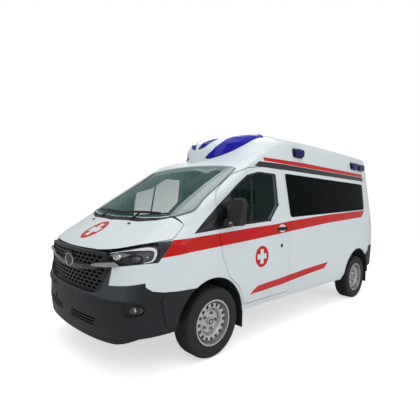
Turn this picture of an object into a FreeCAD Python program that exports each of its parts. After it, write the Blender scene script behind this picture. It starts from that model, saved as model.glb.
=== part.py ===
import FreeCAD
import Part
import math
import os

from FreeCAD import Vector, Placement, Rotation

# Ambulance on a long wheelbase panel van with a raised roof, all lengths in millimetres.
# +Z is up, the front faces -Y and the driver sits on the +X side.

SIZES = [
    ("overall_length", 5340), ("body_width", 1970), ("roof_height", 2490), ("wheelbase", 3300),
    ("front_overhang", 1029), ("wall_thickness", 50), ("sill_bottom", 380), ("gutter_height", 1946),
    ("door_gap", 7), ("seam_gap", 0.4), ("glass_depth", 7), ("glass_thickness", 5), ("glass_gap", 0.3),
    ("front_track", 1740), ("rear_track", 1724), ("tyre_radius", 343), ("tyre_width", 215),
    ("tyre_bore", 196), ("bead_radius", 213), ("rim_flange", 221), ("rim_skin", 8),
    ("dish_depth", 34), ("vent_count", 16), ("vent_radius", 13), ("vent_circle", 163),
    ("hub_bore", 28), ("spindle_play", 0.08), ("stud_count", 5), ("stud_circle", 80), ("stud_radius", 11),
    ("kingpin_inset", 80), ("kingpin_radius", 24), ("arm_height", 205), ("upper_arm_height", 482),
    ("front_arch_radius", 435), ("rear_arch_radius", 475), ("liner_thickness", 6), ("liner_depth", 420),
    ("floor_height", 560), ("floor_thickness", 40), ("stretcher_base_length", 1900),
    ("stretcher_base_width", 560), ("stretcher_base_height", 15), ("glass_line", 1344), ("glass_rise", 110),
    ("door_front", 45), ("door_rear", 1276), ("door_sill", 440), ("rear_door_half", 800),
    ("rear_door_sill", 640), ("seal_width", 14), ("seal_thickness", 12),
    ("beacon_width", 1010), ("beacon_front", 560), ("arch_flare", 10), ("flare_radius", 645),
    ("side_lamp_length", 200), ("side_lamp_height", 96), ("side_lamp_depth", 46),
    ("mirror_width", 165), ("mirror_height", 285), ("mirror_depth", 110),
    ("steering_wheel_radius", 200), ("steering_wheel_rim", 16), ("steering_wheel_rake", 28),
    ("seat_width", 480), ("seat_length", 500), ("seat_height", 880), ("axle_tube_radius", 42),
    ("spring_width", 70), ("spring_length", 1400), ("exhaust_radius", 28), ("grille_bar", 9),
    ("grille_hole_width", 66), ("grille_hole_height", 25), ("nose_radius", 2900), ("intake_slot", 15),
    ("tow_socket_radius", 9), ("fog_lamp_radius", 31), ("fog_recess_depth", 20),
]

doc = FreeCAD.newDocument("ambulance")
sheet = doc.addObject("Spreadsheet::Sheet", "Sizes")
for row, (name, value) in enumerate(SIZES, 1):
    sheet.set("A%d" % row, name)
    sheet.set("B%d" % row, str(value))
    sheet.setAlias("B%d" % row, name)
doc.recompute()


def size(name):
    return float(sheet.get(name))


LENGTH = size("overall_length")
HALF = size("body_width") / 2
ROOF = size("roof_height")
WALL = size("wall_thickness")
GUTTER = size("gutter_height")
GAP = size("door_gap")
SEAM = size("seam_gap")
FRONT_AXLE = -LENGTH / 2 + size("front_overhang")
REAR_AXLE = FRONT_AXLE + size("wheelbase")
REAR_END = LENGTH / 2
WHEEL_Z = size("tyre_radius")


def fa(y):
    return FRONT_AXLE + y


def ra(y):
    return REAR_AXLE + y


def up(z):
    """Heights above the gutter stretch with the roof height."""
    return GUTTER + (z - 1946) * (ROOF - GUTTER) / 544.0 if z > 1946 else z * GUTTER / 1946.0


# plan outlines of the body: height, half width share, then the nose from the side to the middle
PLANS = [
    (230, .950, [(1, -420), (.985, -550), (.94, -700), (.86, -825), (.71, -915), (.5, -965), (0, -1000)]),
    (450, .985, [(1, -430), (.985, -560), (.94, -720), (.86, -850), (.71, -940), (.5, -992), (0, -1029)]),
    (750, 1.00, [(1, -430), (.985, -560), (.94, -715), (.86, -840), (.71, -932), (.5, -985), (0, -1024)]),
    (950, .998, [(1, -410), (.98, -545), (.93, -690), (.85, -800), (.70, -895), (.5, -965), (0, -1008)]),
    (1130, .993, [(1, -380), (.98, -500), (.92, -615), (.83, -730), (.68, -860), (.5, -940), (0, -1000)]),
    (1280, .985, [(1, -100), (.975, -220), (.925, -345), (.83, -500), (.68, -650), (.5, -760), (0, -850)]),
    (1450, .962, [(1, 152), (.975, -18), (.935, -168), (.785, -300), (.68, -370), (.5, -450), (0, -520)]),
    (1650, .936, [(1, 475), (.985, 300), (.955, 145), (.80, 30), (.68, -40), (.5, -120), (0, -200)]),
    (1950, .893, [(1, 900), (.985, 700), (.965, 590), (.83, 500), (.68, 430), (.5, 360), (0, 290)]),
    (2150, .863, [(1, 1250), (.985, 1050), (.94, 925), (.86, 850), (.68, 770), (.5, 700), (0, 620)]),
    (2270, .845, [(1, 1450), (.985, 1250), (.945, 1140), (.87, 1060), (.68, 980), (.5, 910), (0, 830)]),
    (2330, .827, [(1, 1560), (.985, 1350), (.945, 1240), (.87, 1160), (.68, 1080), (.5, 1010), (0, 930)]),
    (2380, .795, [(1, 1640), (.98, 1430), (.935, 1325), (.86, 1245), (.68, 1165), (.5, 1095), (0, 1015)]),
    (2430, .745, [(1, 1700), (.98, 1500), (.93, 1400), (.85, 1320), (.68, 1240), (.5, 1170), (0, 1090)]),
    (2560, .609, [(1, 1900), (.98, 1700), (.93, 1600), (.85, 1520), (.68, 1440), (.5, 1370), (0, 1290)]),
]
TAIL = [(1, -900), (.986, -560), (.93, -260), (.84, -85), (.66, -13), (0, 0)]

# side profile of bonnet, windscreen and roof: y from the front axle, z, crown in 1e-6 per mm
BONNET_LINE = [(-1150, 985, 125), (-1050, 1018, 125), (-985, 1050, 125), (-915, 1104, 125),
               (-780, 1188, 125), (-640, 1267, 118), (-540, 1325, 106)]
ROOF_LINE = [(-540, 1325, 106), (-200, 1542, 88), (150, 1760, 70), (473, 1951, 53), (850, 2182, 110),
             (1150, 2362, 190), (1310, 2428, 215), (1500, 2462, 230), (2000, 2482, 230), (2650, 2490, 230),
             (3400, 2484, 230), (4000, 2466, 230), (4150, 2440, 230), (4235, 2385, 230), (4290, 2290, 230)]


def shifted(points, depth):
    """Move an open run of plane points to their right by a depth."""
    out = []
    for i, (a, b) in enumerate(points):
        p = points[max(i - 1, 0)]
        q = points[min(i + 1, len(points) - 1)]
        du, dv = q[0] - p[0], q[1] - p[1]
        n = math.hypot(du, dv)
        out.append((a + dv / n * depth, b - du / n * depth))
    return out


def knots(points):
    """Chord lengths of an open run as parameters from 0 to 1."""
    sums = [0.0]
    for p, q in zip(points, points[1:]):
        sums.append(sums[-1] + math.dist(p, q))
    return [v / sums[-1] for v in sums]


def spline(points, parameters):
    """Curves that share their parameters loft into one light surface."""
    curve = Part.BSplineCurve()
    curve.interpolate(Points=[Vector(*p) for p in points], Parameters=parameters)
    return curve.toShape()


def segment(p, q):
    return Part.makeLine(Vector(*p), Vector(*q))


def both_sides(points):
    return points + [(-x, y) for x, y in reversed(points[:-1])]


def eased(points):
    """One more point beside the middle, on a parabola, keeps the run from bulging there."""
    (f, y), (zero, middle) = points[-2], points[-1]
    return points[:-1] + [(f / 2, middle + (y - middle) / 4), (zero, middle)]


NOSE_KNOTS = knots(both_sides([(-f * 985, y) for f, y in eased(PLANS[3][2])]))
TAIL_KNOTS = knots(both_sides([(f * 985, y) for f, y in eased(TAIL)]))
BONNET_KNOTS = knots([(y, z) for y, z, crown in BONNET_LINE])
ROOF_KNOTS = knots([(y, z) for y, z, crown in ROOF_LINE])


def plan_wire(z, share, nose, depth):
    hw = HALF * share
    nose = eased(nose)
    zz = up(z) - (2 * depth if z == PLANS[0][0] else 0)
    right = [(-f * hw, fa(y)) for f, y in nose]
    run = both_sides(right)
    lean = max(0.0, z - 1000) * 0.075
    tail = [(f * hw, REAR_END + y - lean) for f, y in eased(TAIL)]
    back = both_sides(tail)
    if depth:
        run = shifted(run, -depth)
        run[0] = (-hw + depth, run[0][1])
        run[-1] = (hw - depth, run[-1][1])
        back = shifted(back, -depth)
        back = [(x, y) for x, y in back]
        back[0] = (hw - depth, back[0][1])
        back[-1] = (-hw + depth, back[-1][1])
    run = [(x, y, zz) for x, y in run]
    back = [(x, y, zz) for x, y in back]
    return Part.Wire([spline(run, NOSE_KNOTS), segment(run[-1], back[0]), spline(back, TAIL_KNOTS),
                      segment(back[-1], run[0])])


def profile_wire(x, depth):
    """Closed side profile at one distance from the centre line."""
    def line(rows):
        pts = [(y, z) for y, z, crown in rows]
        moved = shifted(pts, depth) if depth else pts
        low = []
        for (y, z), row in zip(moved, rows):
            low.append((x, fa(y), up(z - row[2] * 1e-6 * x * x)))
        return low
    joined = line(BONNET_LINE + ROOF_LINE[1:])
    n = len(BONNET_LINE)
    hood, roof = joined[:n], joined[n - 1:]
    start, end = hood[0], roof[-1]
    y_back = end[1] + 260
    floor = 120
    return Part.Wire([
        segment((x, start[1], floor), start), spline(hood, BONNET_KNOTS), spline(roof, ROOF_KNOTS),
        segment(end, (x, y_back, end[2] - 120)), segment((x, y_back, end[2] - 120), (x, y_back, floor)),
        segment((x, y_back, floor), (x, start[1], floor))])


def hull(depth):
    """The outer form of the body, moved inwards by a depth."""
    plan = Part.makeLoft([plan_wire(z, s, n, depth) for z, s, n in PLANS], True, True)
    side = Part.makeLoft([profile_wire(x, depth) for x in (-1050, -525, 0, 525, 1050)], True, False)
    return plan.common(side)


def offset_polygon(points, radii, grow):
    """Grow a closed polygon by moving its edges outwards."""
    area = sum(a[0] * b[1] - b[0] * a[1] for a, b in zip(points, points[1:] + points[:1]))
    if area < 0:
        points, radii = points[::-1], radii[::-1]
    n = len(points)
    out = []
    for i in range(n):
        p, c, q = points[i - 1], points[i], points[(i + 1) % n]
        a = Vector(c[0] - p[0], c[1] - p[1], 0).normalize()
        b = Vector(q[0] - c[0], q[1] - c[1], 0).normalize()
        na, nb = Vector(a.y, -a.x, 0), Vector(b.y, -b.x, 0)
        m = na + nb
        k = grow / (1 + na.dot(nb))
        turn = a.x * b.y - a.y * b.x
        r = radii[i]
        r = max(r + grow, 0) if turn > 0 else max(r - grow, 0)
        out.append(((c[0] + m.x * k, c[1] + m.y * k), r if radii[i] else 0))
    return [o[0] for o in out], [o[1] for o in out]


def prism(plane, points, low, high, radius=0, grow=0.0):
    """Extrude a rounded polygon: plane yz, xz or xy, from low to high along the third axis."""
    radii = list(radius) if isinstance(radius, (list, tuple)) else [radius] * len(points)
    pts, rad = offset_polygon(list(points), radii, grow)
    place = {"yz": lambda a, b: Vector(low, a, b), "xz": lambda a, b: Vector(a, low, b),
             "xy": lambda a, b: Vector(a, b, low)}[plane]
    n = len(pts)
    edges, ends = [], []
    for i in range(n):
        p, c, q = Vector(*pts[i - 1], 0), Vector(*pts[i], 0), Vector(*pts[(i + 1) % n], 0)
        a, b = (c - p), (q - c)
        la, lb = a.Length, b.Length
        a.normalize()
        b.normalize()
        half = math.acos(max(-1, min(1, a.dot(b)))) / 2
        r = rad[i]
        if r > 0 and half > 0.01:
            t = min(r * math.tan(half), 0.45 * la, 0.45 * lb)
            s, e = c - a * t, c + b * t
            d = t / math.sin(half) if half else 0
            m = (b - a).normalize()
            rr = t / math.tan(half)
            mid = c + m * (math.sqrt(rr * rr + t * t) - rr)
            ends.append((s, mid, e))
        else:
            ends.append((c, None, c))
    for i in range(n):
        s, mid, e = ends[i]
        if mid is not None:
            edges.append(Part.Arc(place(s.x, s.y), place(mid.x, mid.y), place(e.x, e.y)).toShape())
        nxt = ends[(i + 1) % n][0]
        if (nxt - e).Length > 1e-6:
            edges.append(Part.makeLine(place(e.x, e.y), place(nxt.x, nxt.y)))
    depth = {"yz": Vector(high - low, 0, 0), "xz": Vector(0, high - low, 0), "xy": Vector(0, 0, high - low)}
    return Part.Face(Part.Wire(edges)).extrude(depth[plane])


def box(x0, x1, y0, y1, z0, z1):
    return Part.makeBox(x1 - x0, y1 - y0, z1 - z0, Vector(x0, y0, z0))


def rod(p, q, r):
    d = Vector(*q) - Vector(*p)
    return Part.makeCylinder(r, d.Length, Vector(*p), d)


def mirrored(shape):
    return shape.mirror(Vector(0, 0, 0), Vector(1, 0, 0))


def biggest(shape, count=1):
    """The largest solids, so that slivers of a cut are dropped."""
    solids = sorted(shape.Solids, key=lambda s: -s.Volume)[:count]
    return solids[0] if count == 1 else Part.makeCompound(solids)


def keep(label, shape):
    feature = doc.addObject("Part::Feature", label)
    feature.Label = label
    feature.Shape = shape
    return feature


def primitive(kind, name, place=None, **sizes):
    feature = doc.addObject("Part::" + kind, name)
    for prop, value in sizes.items():
        feature.setExpression(prop, value)
    if place is not None:
        feature.Placement = place
    return feature


def boolean(kind, name, base, tools):
    if kind == "Cut":
        feature = doc.addObject("Part::Cut", name)
        feature.Base, feature.Tool = base, tools[0]
    else:
        feature = doc.addObject("Part::Multi" + kind, name)
        feature.Shapes = [base] + list(tools)
    feature.Label = name
    return feature


def revolved(name, corners, plane="XZ_Plane", angle=360):
    """A body turned about its own X axis from corners given as (x, radius) expressions."""
    body = doc.addObject("PartDesign::Body", name)
    sketch = body.newObject("Sketcher::SketchObject", name + "_outline")
    origin = [f for f in body.Origin.OriginFeatures if f.Role == plane][0]
    sketch.AttachmentSupport = [(origin, "")]
    sketch.MapMode = "FlatFace"
    n = len(corners)
    probe = [(number(a), number(b)) for a, b in corners]
    for i in range(n):
        p, q = probe[i], probe[(i + 1) % n]
        sketch.addGeometry(Part.LineSegment(Vector(*p, 0), Vector(*q, 0)), False)
    import Sketcher
    for i in range(n):
        sketch.addConstraint(Sketcher.Constraint("Coincident", i, 2, (i + 1) % n, 1))
    for i, (a, b) in enumerate(corners):
        for axis, expression, value in (("DistanceX", a, probe[i][0]), ("DistanceY", b, probe[i][1])):
            if value == 0:
                k = sketch.addConstraint(Sketcher.Constraint("PointOnObject", i, 1,
                                                             -2 if axis == "DistanceX" else -1))
                continue
            k = sketch.addConstraint(Sketcher.Constraint(axis, -1, 1, i, 1, value))
            sketch.setExpression("Constraints[%d]" % k, expression)
    turn = body.newObject("PartDesign::Revolution", name + "_turn")
    turn.Profile = sketch
    turn.ReferenceAxis = (sketch, ["H_Axis"])
    turn.Angle = angle
    body.Label = name
    return body


def number(expression):
    """Value of a simple expression of the sheet's names, worked out by the sheet itself."""
    cell = "D1"
    sheet.set(cell, "=" + expression.replace("Sizes.", ""))
    sheet.recompute()
    value = sheet.get(cell)
    sheet.clear(cell)
    return float(getattr(value, "Value", value))


# the hollow body and its panels

SEAT = size("glass_gap")
TRACK_F, TRACK_R = size("front_track") / 2, size("rear_track") / 2

outer = hull(0)
inner = hull(WALL)
shell = outer.cut(inner)

front_arch_y, front_arch_z = fa(-25), WHEEL_Z + 9
rear_arch_y, rear_arch_z = ra(-5), WHEEL_Z + 2
R_FRONT, R_REAR = size("front_arch_radius"), size("rear_arch_radius")
WIDE = 1300


def arch_cutter(reach):
    front = rod((-reach, front_arch_y, front_arch_z), (reach, front_arch_y, front_arch_z), R_FRONT)
    rear = rod((-reach, rear_arch_y, rear_arch_z), (reach, rear_arch_y, rear_arch_z), R_REAR)
    leg = prism("yz", [(rear_arch_y, 200), (rear_arch_y, 600), (rear_arch_y - R_REAR * .97, 470),
                       (rear_arch_y - R_REAR * 1.24, 360), (rear_arch_y - R_REAR * 1.3, 200)], -reach, reach)
    return front.fuse([rear, leg])


SILL = size("sill_bottom")
below = box(-WIDE, WIDE, fa(-450), REAR_END + 200, 0, SILL)
# raised flares round the four arches, cone shaped at their edges
FLARE, FLARE_R = size("arch_flare"), size("flare_radius")
flare_layer = hull(-FLARE)
for axle_y, axle_z in ((front_arch_y, front_arch_z), (rear_arch_y, rear_arch_z)):
    cone = Part.makeCone(FLARE_R + 20, FLARE_R - 75, FLARE + 22, Vector(HALF - 20, axle_y, axle_z),
                         Vector(1, 0, 0))
    cone = cone.cut(box(HALF - 30, WIDE, axle_y - 900, axle_y + 900, -500, axle_z - 60))
    flare = flare_layer.common(cone)
    shell = shell.fuse([flare, mirrored(flare)])
shell = shell.cut([arch_cutter(WIDE), below])

# outlines, each in its own plane
BUMPER_TOP = 786
CHEEK = 658        # where the white nose panels begin
bumper_outline = [(fa(-1300), 290), (fa(-900), 300), (fa(-769), 352), (fa(-400), 372), (fa(-200), 500),
                  (fa(-200), 722), (fa(-590), 734), (fa(-690), 752), (fa(-738), 786), (fa(-742), 822),
                  (fa(-940), BUMPER_TOP), (fa(-1300), BUMPER_TOP)]
grille_outline = [(-455, 686), (455, 686), (578, 736), (640, 935), (575, 1050), (-575, 1050), (-640, 935),
                  (-578, 736)]
cheek_outline = [(-CHEEK, 700), (CHEEK, 700), (CHEEK, 935), (640, 932), (-640, 932), (-CHEEK, 935)]
bonnet_side = [(fa(-1300), 1052), (fa(-985), 1052), (fa(-934), 1060), (fa(-736), 1128), (fa(-486), 1172),
               (fa(-357), 1272), (fa(-331), 1318), (fa(-331), 1600), (fa(-1300), 1600)]
cowl_curve = [(-900, -336), (-800, -392), (-650, -478), (-450, -545), (0, -590), (450, -545), (650, -478),
              (800, -392), (900, -336)]
GLASS_BASE = [(-775, -372), (-650, -432), (-450, -490), (0, -530), (450, -490), (650, -432), (775, -372)]
GLASS_TOP = [(704, 446), (500, 462), (0, 470), (-500, 462), (-704, 446)]
windscreen_plan = [(x, fa(y)) for x, y in GLASS_BASE + GLASS_TOP]
DOOR_REAR = fa(size("door_rear"))
DOOR_SILL = size("door_sill")
door_front = fa(size("door_front"))
door_outline = [
    (door_front - 4, 1238), (door_front + 8, 1150), (door_front + 52, 950), (door_front + 138, 768),
    (door_front + 278, 660), (door_front + 346, 560), (door_front + 387, DOOR_SILL), (DOOR_REAR, DOOR_SILL),
    (DOOR_REAR, 1300), (DOOR_REAR - 40, 1700), (DOOR_REAR - 78, 1928), (fa(805), 1927), (fa(560), 1893),
    (fa(364), 1818), (fa(200), 1711), (fa(76), 1611), (fa(30), 1545), (fa(38), 1418)]
door_radii = [12, 30, 60, 40, 40, 40, 25, 40, 60, 60, 40, 80, 120, 120, 120, 60, 20, 20]
RISE = size("glass_rise")
SIDE_GLASS = size("glass_line")
door_glass = [(fa(235), 1266), (fa(454), 1280), (fa(880), 1308), (fa(1062), 1490), (fa(1052), 1862),
              (fa(728), 1862), (fa(530), 1812), (fa(330), 1682), (fa(235), 1608)]
door_glass_radii = [20, 60, 80, 90, 40, 80, 80, 80, 20]
side_glass = [(fa(1300), SIDE_GLASS), (fa(3628), SIDE_GLASS + RISE), (fa(3650), 1884), (fa(1245), 1884)]
GUT = GUTTER

roof_region = prism("yz", [(fa(300), GUT), (REAR_END + 100, GUT), (REAR_END + 100, ROOF + 100),
                           (fa(300), ROOF + 100)], -WIDE, WIDE)
header_region = box(-745, 745, fa(300), REAR_END + 100, 1886, GUT + 5)


def bonnet_region(grow):
    side = prism("yz", bonnet_side, -WIDE, WIDE, [0, 0, 30, 60, 60, 40, 20, 0, 0], grow)
    plan = prism("xy", [(-1200, fa(-1500)), (1200, fa(-1500)), (1200, fa(-331))]
                 + [(x, fa(y)) for x, y in reversed(cowl_curve)] + [(-1200, fa(-331))], 900, 1700, 0, grow)
    return side.common(plan)


def split(whole, region_piece, region_hole):
    return whole.common(region_piece), whole.cut(region_hole)


# roof cap, windscreen opening, bonnet, grille opening and bumpers run across the whole width
opening = prism("xy", windscreen_plan, 1200, 2100, 40)
roof_piece = shell.common(roof_region.fuse(header_region)).cut(
    prism("xy", windscreen_plan, 1200, 2100, 40))
roof_piece = biggest(roof_piece)
rest = shell.cut([prism("yz", [(fa(300), GUT - SEAM), (REAR_END + 100, GUT - SEAM),
                               (REAR_END + 100, ROOF + 100), (fa(300), ROOF + 100)], -WIDE, WIDE),
                  box(-745 - SEAM, 745 + SEAM, fa(300), REAR_END + 100, 1886 - SEAM, GUT + 5), opening])
bonnet = biggest(rest.common(bonnet_region(-GAP / 2)).cut(
    prism("xz", grille_outline, fa(-1300), fa(-600), 30, 3)))
rest = rest.cut(bonnet_region(GAP / 2))
bumper = prism("yz", bumper_outline, -WIDE, WIDE, 0, -SEAM)
cheeks = prism("xz", cheek_outline, fa(-1300), fa(-600), 0, -SEAM)
front_bumper = biggest(rest.common(bumper.fuse(cheeks)).cut(
    prism("xz", grille_outline, fa(-1300), fa(-600), 30, SEAM)))
rest = rest.cut([prism("yz", [(fa(-1300), 100)] + [(fa(-200), 100)] + bumper_outline[5:], -WIDE, WIDE),
                 prism("xz", cheek_outline, fa(-1300), fa(-600)),
                 prism("xz", grille_outline, fa(-1300), fa(-600), 30)])
rear_bumper_outline = [(ra(225), 470), (ra(270), 660), (ra(520), 838), (REAR_END + 100, 838),
                       (REAR_END + 100, 470)]
tail_cut = prism("yz", rear_bumper_outline, -WIDE, WIDE)
rear_bumper = rest.common(prism("yz", rear_bumper_outline, -WIDE, WIDE, 0, -SEAM))
rest = rest.cut([tail_cut, box(-WIDE, WIDE, ra(225), REAR_END + 100, 0, 480)])

cowl_band = prism("xy", [(x, fa(y)) for x, y in cowl_curve]
                  + [(x * 1.03, fa(y) - 4) for x, y in reversed(GLASS_BASE)], 1200, 1500)
cowl = biggest(rest.common(cowl_band))
rest = rest.cut(prism("xy", [(x, fa(y)) for x, y in cowl_curve]
                      + [(x * 1.03, fa(y) - 4) for x, y in reversed(GLASS_BASE)], 1200, 1500, 0, SEAM))

half = rest.common(box(0, WIDE, -3000, 3000, 0, 3000))

RD = size("rear_door_half")
RD_SILL = size("rear_door_sill")
rear_door_region = [(GAP / 2, RD_SILL), (RD, RD_SILL), (RD, 1600), (RD - 36, 1880), (GAP / 2, 1880)]
rear_hole = [(-10, RD_SILL - GAP), (RD + GAP, RD_SILL - GAP), (RD + GAP, 1600), (RD - 36 + GAP, 1880 + GAP),
             (-10, 1880 + GAP)]
tail_skin = shell.common(box(0, WIDE, ra(500), REAR_END + 50, 400, 2000))
rear_door = tail_skin.common(prism("xz", rear_door_region, ra(700), REAR_END + 100, [0, 40, 60, 40, 0]))
rear_door = biggest(rear_door)
half = half.cut(prism("xz", rear_hole, ra(700), REAR_END + 100, [0, 40, 60, 40, 0]))
rear_bumper = biggest(rear_bumper.cut(box(-RD - GAP, RD + GAP, ra(700), REAR_END + 100, RD_SILL - GAP, 900)))

door = half.common(prism("yz", door_outline, 0, WIDE, door_radii, -GAP / 2))
door = biggest(door)
half = half.cut(prism("yz", door_outline, 0, WIDE, door_radii, GAP / 2))

# headlamp, white nose panel and fender ahead of the door
lamp_front = [(480, 1015), (640, 932), (940, 984), (1100, 1010), (1100, 1190), (960, 1168), (800, 1128),
              (560, 1068)]
lamp_side = [(fa(-1300), 700), (fa(-705), 700), (fa(-633), 986), (fa(-486), 1172), (fa(-450), 1300),
             (fa(-1300), 1300)]


def lamp_region(grow):
    return prism("xz", lamp_front, fa(-1300), fa(-400), 0, grow).common(
        prism("yz", lamp_side, 0, WIDE, 0, grow))


lamp = biggest(half.common(lamp_region(-SEAM)))
half = half.cut(lamp_region(0))
nose_side = [(fa(-1300), 700), (fa(-742), 700), (fa(-742), 822), (fa(-650), 986), (fa(-700), 1100),
             (fa(-1300), 1100)]
nose = biggest(half.common(prism("yz", nose_side, 0, WIDE, 0, -SEAM)))
half = half.cut(prism("yz", nose_side, 0, WIDE))
fender_region = box(0, WIDE, fa(-1300), fa(20), 300, 1345)
door_post = prism("yz", [(fa(-331), 1310), (fa(60), 1310), (fa(60), 1180), (fa(20), 900), (fa(90), 500),
                         (fa(600), 300), (fa(-1300), 300), (fa(-1300), 1310)], 0, WIDE)
fender = biggest(half.common(door_post))
half = half.cut(prism("yz", [(fa(-331), 1310), (fa(60), 1310), (fa(60), 1180), (fa(20), 900), (fa(90), 500),
                             (fa(600), 300), (fa(-1300), 300), (fa(-1300), 1310)], 0, WIDE, 0, SEAM))

side = biggest(half)
side_right = mirrored(side)
door_glass_cut = prism("yz", door_glass, 0, WIDE, door_glass_radii)
door = door.cut(door_glass_cut)
side_radii = [50, 50, 50, 30]
side_left = side.cut(prism("yz", side_glass, 0, WIDE, side_radii))

SLIDE_FRONT, SLIDE_REAR = DOOR_REAR + 18, fa(2520)
slide_outline = [(SLIDE_FRONT, DOOR_SILL), (SLIDE_REAR, DOOR_SILL), (SLIDE_REAR, 1928),
                 (SLIDE_FRONT - 76, 1928), (SLIDE_FRONT - 40, 1700), (SLIDE_FRONT, 1300)]
slide_radii = [30, 40, 40, 20, 60, 60]
slide_glass = [(fa(1380), SIDE_GLASS + 4), (SLIDE_REAR - 70, SIDE_GLASS + RISE * .48), (SLIDE_REAR - 70, 1884),
               (fa(1330), 1884)]
rear_glass = [(SLIDE_REAR + 60, SIDE_GLASS + RISE * .54), (fa(3628), SIDE_GLASS + RISE), (fa(3650), 1884),
              (SLIDE_REAR + 60, 1884)]
sliding_door = biggest(side_right.common(prism("yz", slide_outline, -WIDE, 0, slide_radii, -GAP / 2)))
side_right = side_right.cut(prism("yz", slide_outline, -WIDE, 0, slide_radii, GAP / 2))
side_right = side_right.cut(prism("yz", rear_glass, -WIDE, 0, side_radii))
sliding_door = sliding_door.cut(prism("yz", slide_glass, -WIDE, 0, side_radii))

# panes lie a little inside the outer form
G0 = size("glass_depth")
G1 = G0 + size("glass_thickness")
GG = size("glass_gap")
pane_front, pane_back = hull(G0), hull(G1)


def pane(region):
    return biggest(pane_front.common(region).cut(pane_back))


windscreen = pane(prism("xy", windscreen_plan, 1200, 2100, 40, -GG))
door_pane = pane(prism("yz", door_glass, 700, WIDE, door_glass_radii, -GG))
side_pane = pane(prism("yz", side_glass, 700, WIDE, side_radii, -GG))
slide_pane = pane(prism("yz", slide_glass, -WIDE, -700, side_radii, -GG))
rear_pane = pane(prism("yz", rear_glass, -WIDE, -700, side_radii, -GG))
tail_glass = [(90, 1330), (RD - 90, 1330), (RD - 110, 1820), (90, 1820)]
rear_door = rear_door.cut(prism("xz", tail_glass, ra(700), REAR_END + 100, 50))
tail_pane = pane(prism("xz", tail_glass, ra(700), REAR_END + 100, 50, -GG))
tail_lamp_region = [(RD + 22, 900), (WIDE, 900), (WIDE, 1420), (RD + 10, 1420)]
lamp_side_tail = box(0, WIDE, REAR_END - 330, REAR_END + 50, 800, 1500)
tail_lamp = biggest(side_left.common(prism("xz", tail_lamp_region, ra(500), REAR_END + 100, 0, -SEAM)
                                     .common(lamp_side_tail)))
tail_hole = prism("xz", tail_lamp_region, ra(500), REAR_END + 100).common(
    box(0, WIDE, REAR_END - 330 - SEAM, REAR_END + 50, 800, 1500))
side_left = side_left.cut(tail_hole)
side_right = side_right.cut(mirrored(tail_hole))


# rubber seals that the closed doors, the bonnet and the glass frames lie against
ST, SW = size("seal_thickness"), size("seal_width")
seal_front, cabin = hull(WALL + SEAT), hull(WALL + SEAT + ST + SEAT)
seal_back = hull(WALL + SEAT + ST)


def seal_ring(region):
    return biggest(seal_front.common(region(SW).cut(region(-SW))).cut(seal_back))


door_ring = seal_ring(lambda g: prism("yz", door_outline, 300, WIDE, door_radii, g))
slide_ring = seal_ring(lambda g: prism("yz", slide_outline, -WIDE, -300, slide_radii, g))
tail_outline = [(-RD, RD_SILL), (RD, RD_SILL), (RD, 1600), (RD - 36, 1880), (-RD + 36, 1880), (-RD, 1600)]
tail_radii = [40, 40, 60, 40, 40, 60]
DOOR_SWEEP = 242        # what the corner of an opening rear door reaches round its hinge
swept = [Part.makeCylinder(DOOR_SWEEP, 2200, Vector(sgn * (RD + GAP / 2), ra(953), 300)) for sgn in (1, -1)]
tail_band = prism("xz", tail_outline, ra(760), REAR_END + 100, tail_radii, SW).cut(
    prism("xz", tail_outline, ra(760), REAR_END + 100, tail_radii, -SW))
tail_ring = biggest(seal_front.common(tail_band).cut(
    swept + [box(RD - 70, WIDE, ra(700), REAR_END + 100, 0, 3000),
             box(-WIDE, -RD + 70, ra(700), REAR_END + 100, 0, 3000)]).cut(seal_back), 2)
bonnet_ring = seal_ring(bonnet_region)
bonnet_ring = biggest(bonnet_ring.cut(prism("xz", grille_outline, fa(-1300), fa(-600), 30, 60)), 2)

# floor, wheel housings and what stands on the floor
FLOOR, FLOOR_T = size("floor_height"), size("floor_thickness")
LT = size("liner_thickness")
floor_pan = cabin.common(box(-WIDE, WIDE, fa(-60), REAR_END, FLOOR - FLOOR_T, FLOOR))
liner_in_front, liner_in_rear = HALF - size("liner_depth"), TRACK_R - size("tyre_width") / 2 - 52


def housing(axle_y, axle_z, radius, inside, plate_low):
    outside = HALF - 10
    tub = rod((inside, axle_y, axle_z), (outside, axle_y, axle_z), radius - SEAT).cut(
        rod((inside + LT, axle_y, axle_z), (outside + 20, axle_y, axle_z), radius - SEAT - LT))
    tub = tub.cut([box(inside - 5, outside + 5, axle_y - 900, axle_y + 900, 0, SILL),
                   box(inside - 5, inside + LT, axle_y - 900, axle_y + 900, 0, plate_low)])
    return biggest(tub)


front_tub = housing(front_arch_y, front_arch_z, R_FRONT, liner_in_front, 508)
rear_tub = housing(rear_arch_y, rear_arch_z, R_REAR, liner_in_rear, 470)
room = [box(liner_in_front - SEAT, WIDE, fa(-500), fa(500), 300, 1000).common(
            rod((0, front_arch_y, front_arch_z), (WIDE, front_arch_y, front_arch_z), R_FRONT)),
        rod((liner_in_rear - SEAT, rear_arch_y, rear_arch_z), (WIDE, rear_arch_y, rear_arch_z), R_REAR)]
floor_pan = biggest(floor_pan.cut(room + [mirrored(r) for r in room]))
BASE_L, BASE_W, BASE_H = (size("stretcher_base_" + k) for k in ("length", "width", "height"))
floor_pan = floor_pan.fuse(box(-BASE_W / 2, BASE_W / 2, ra(-1350), ra(-1350) + BASE_L, FLOOR - 1,
                           FLOOR + BASE_H))

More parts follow.
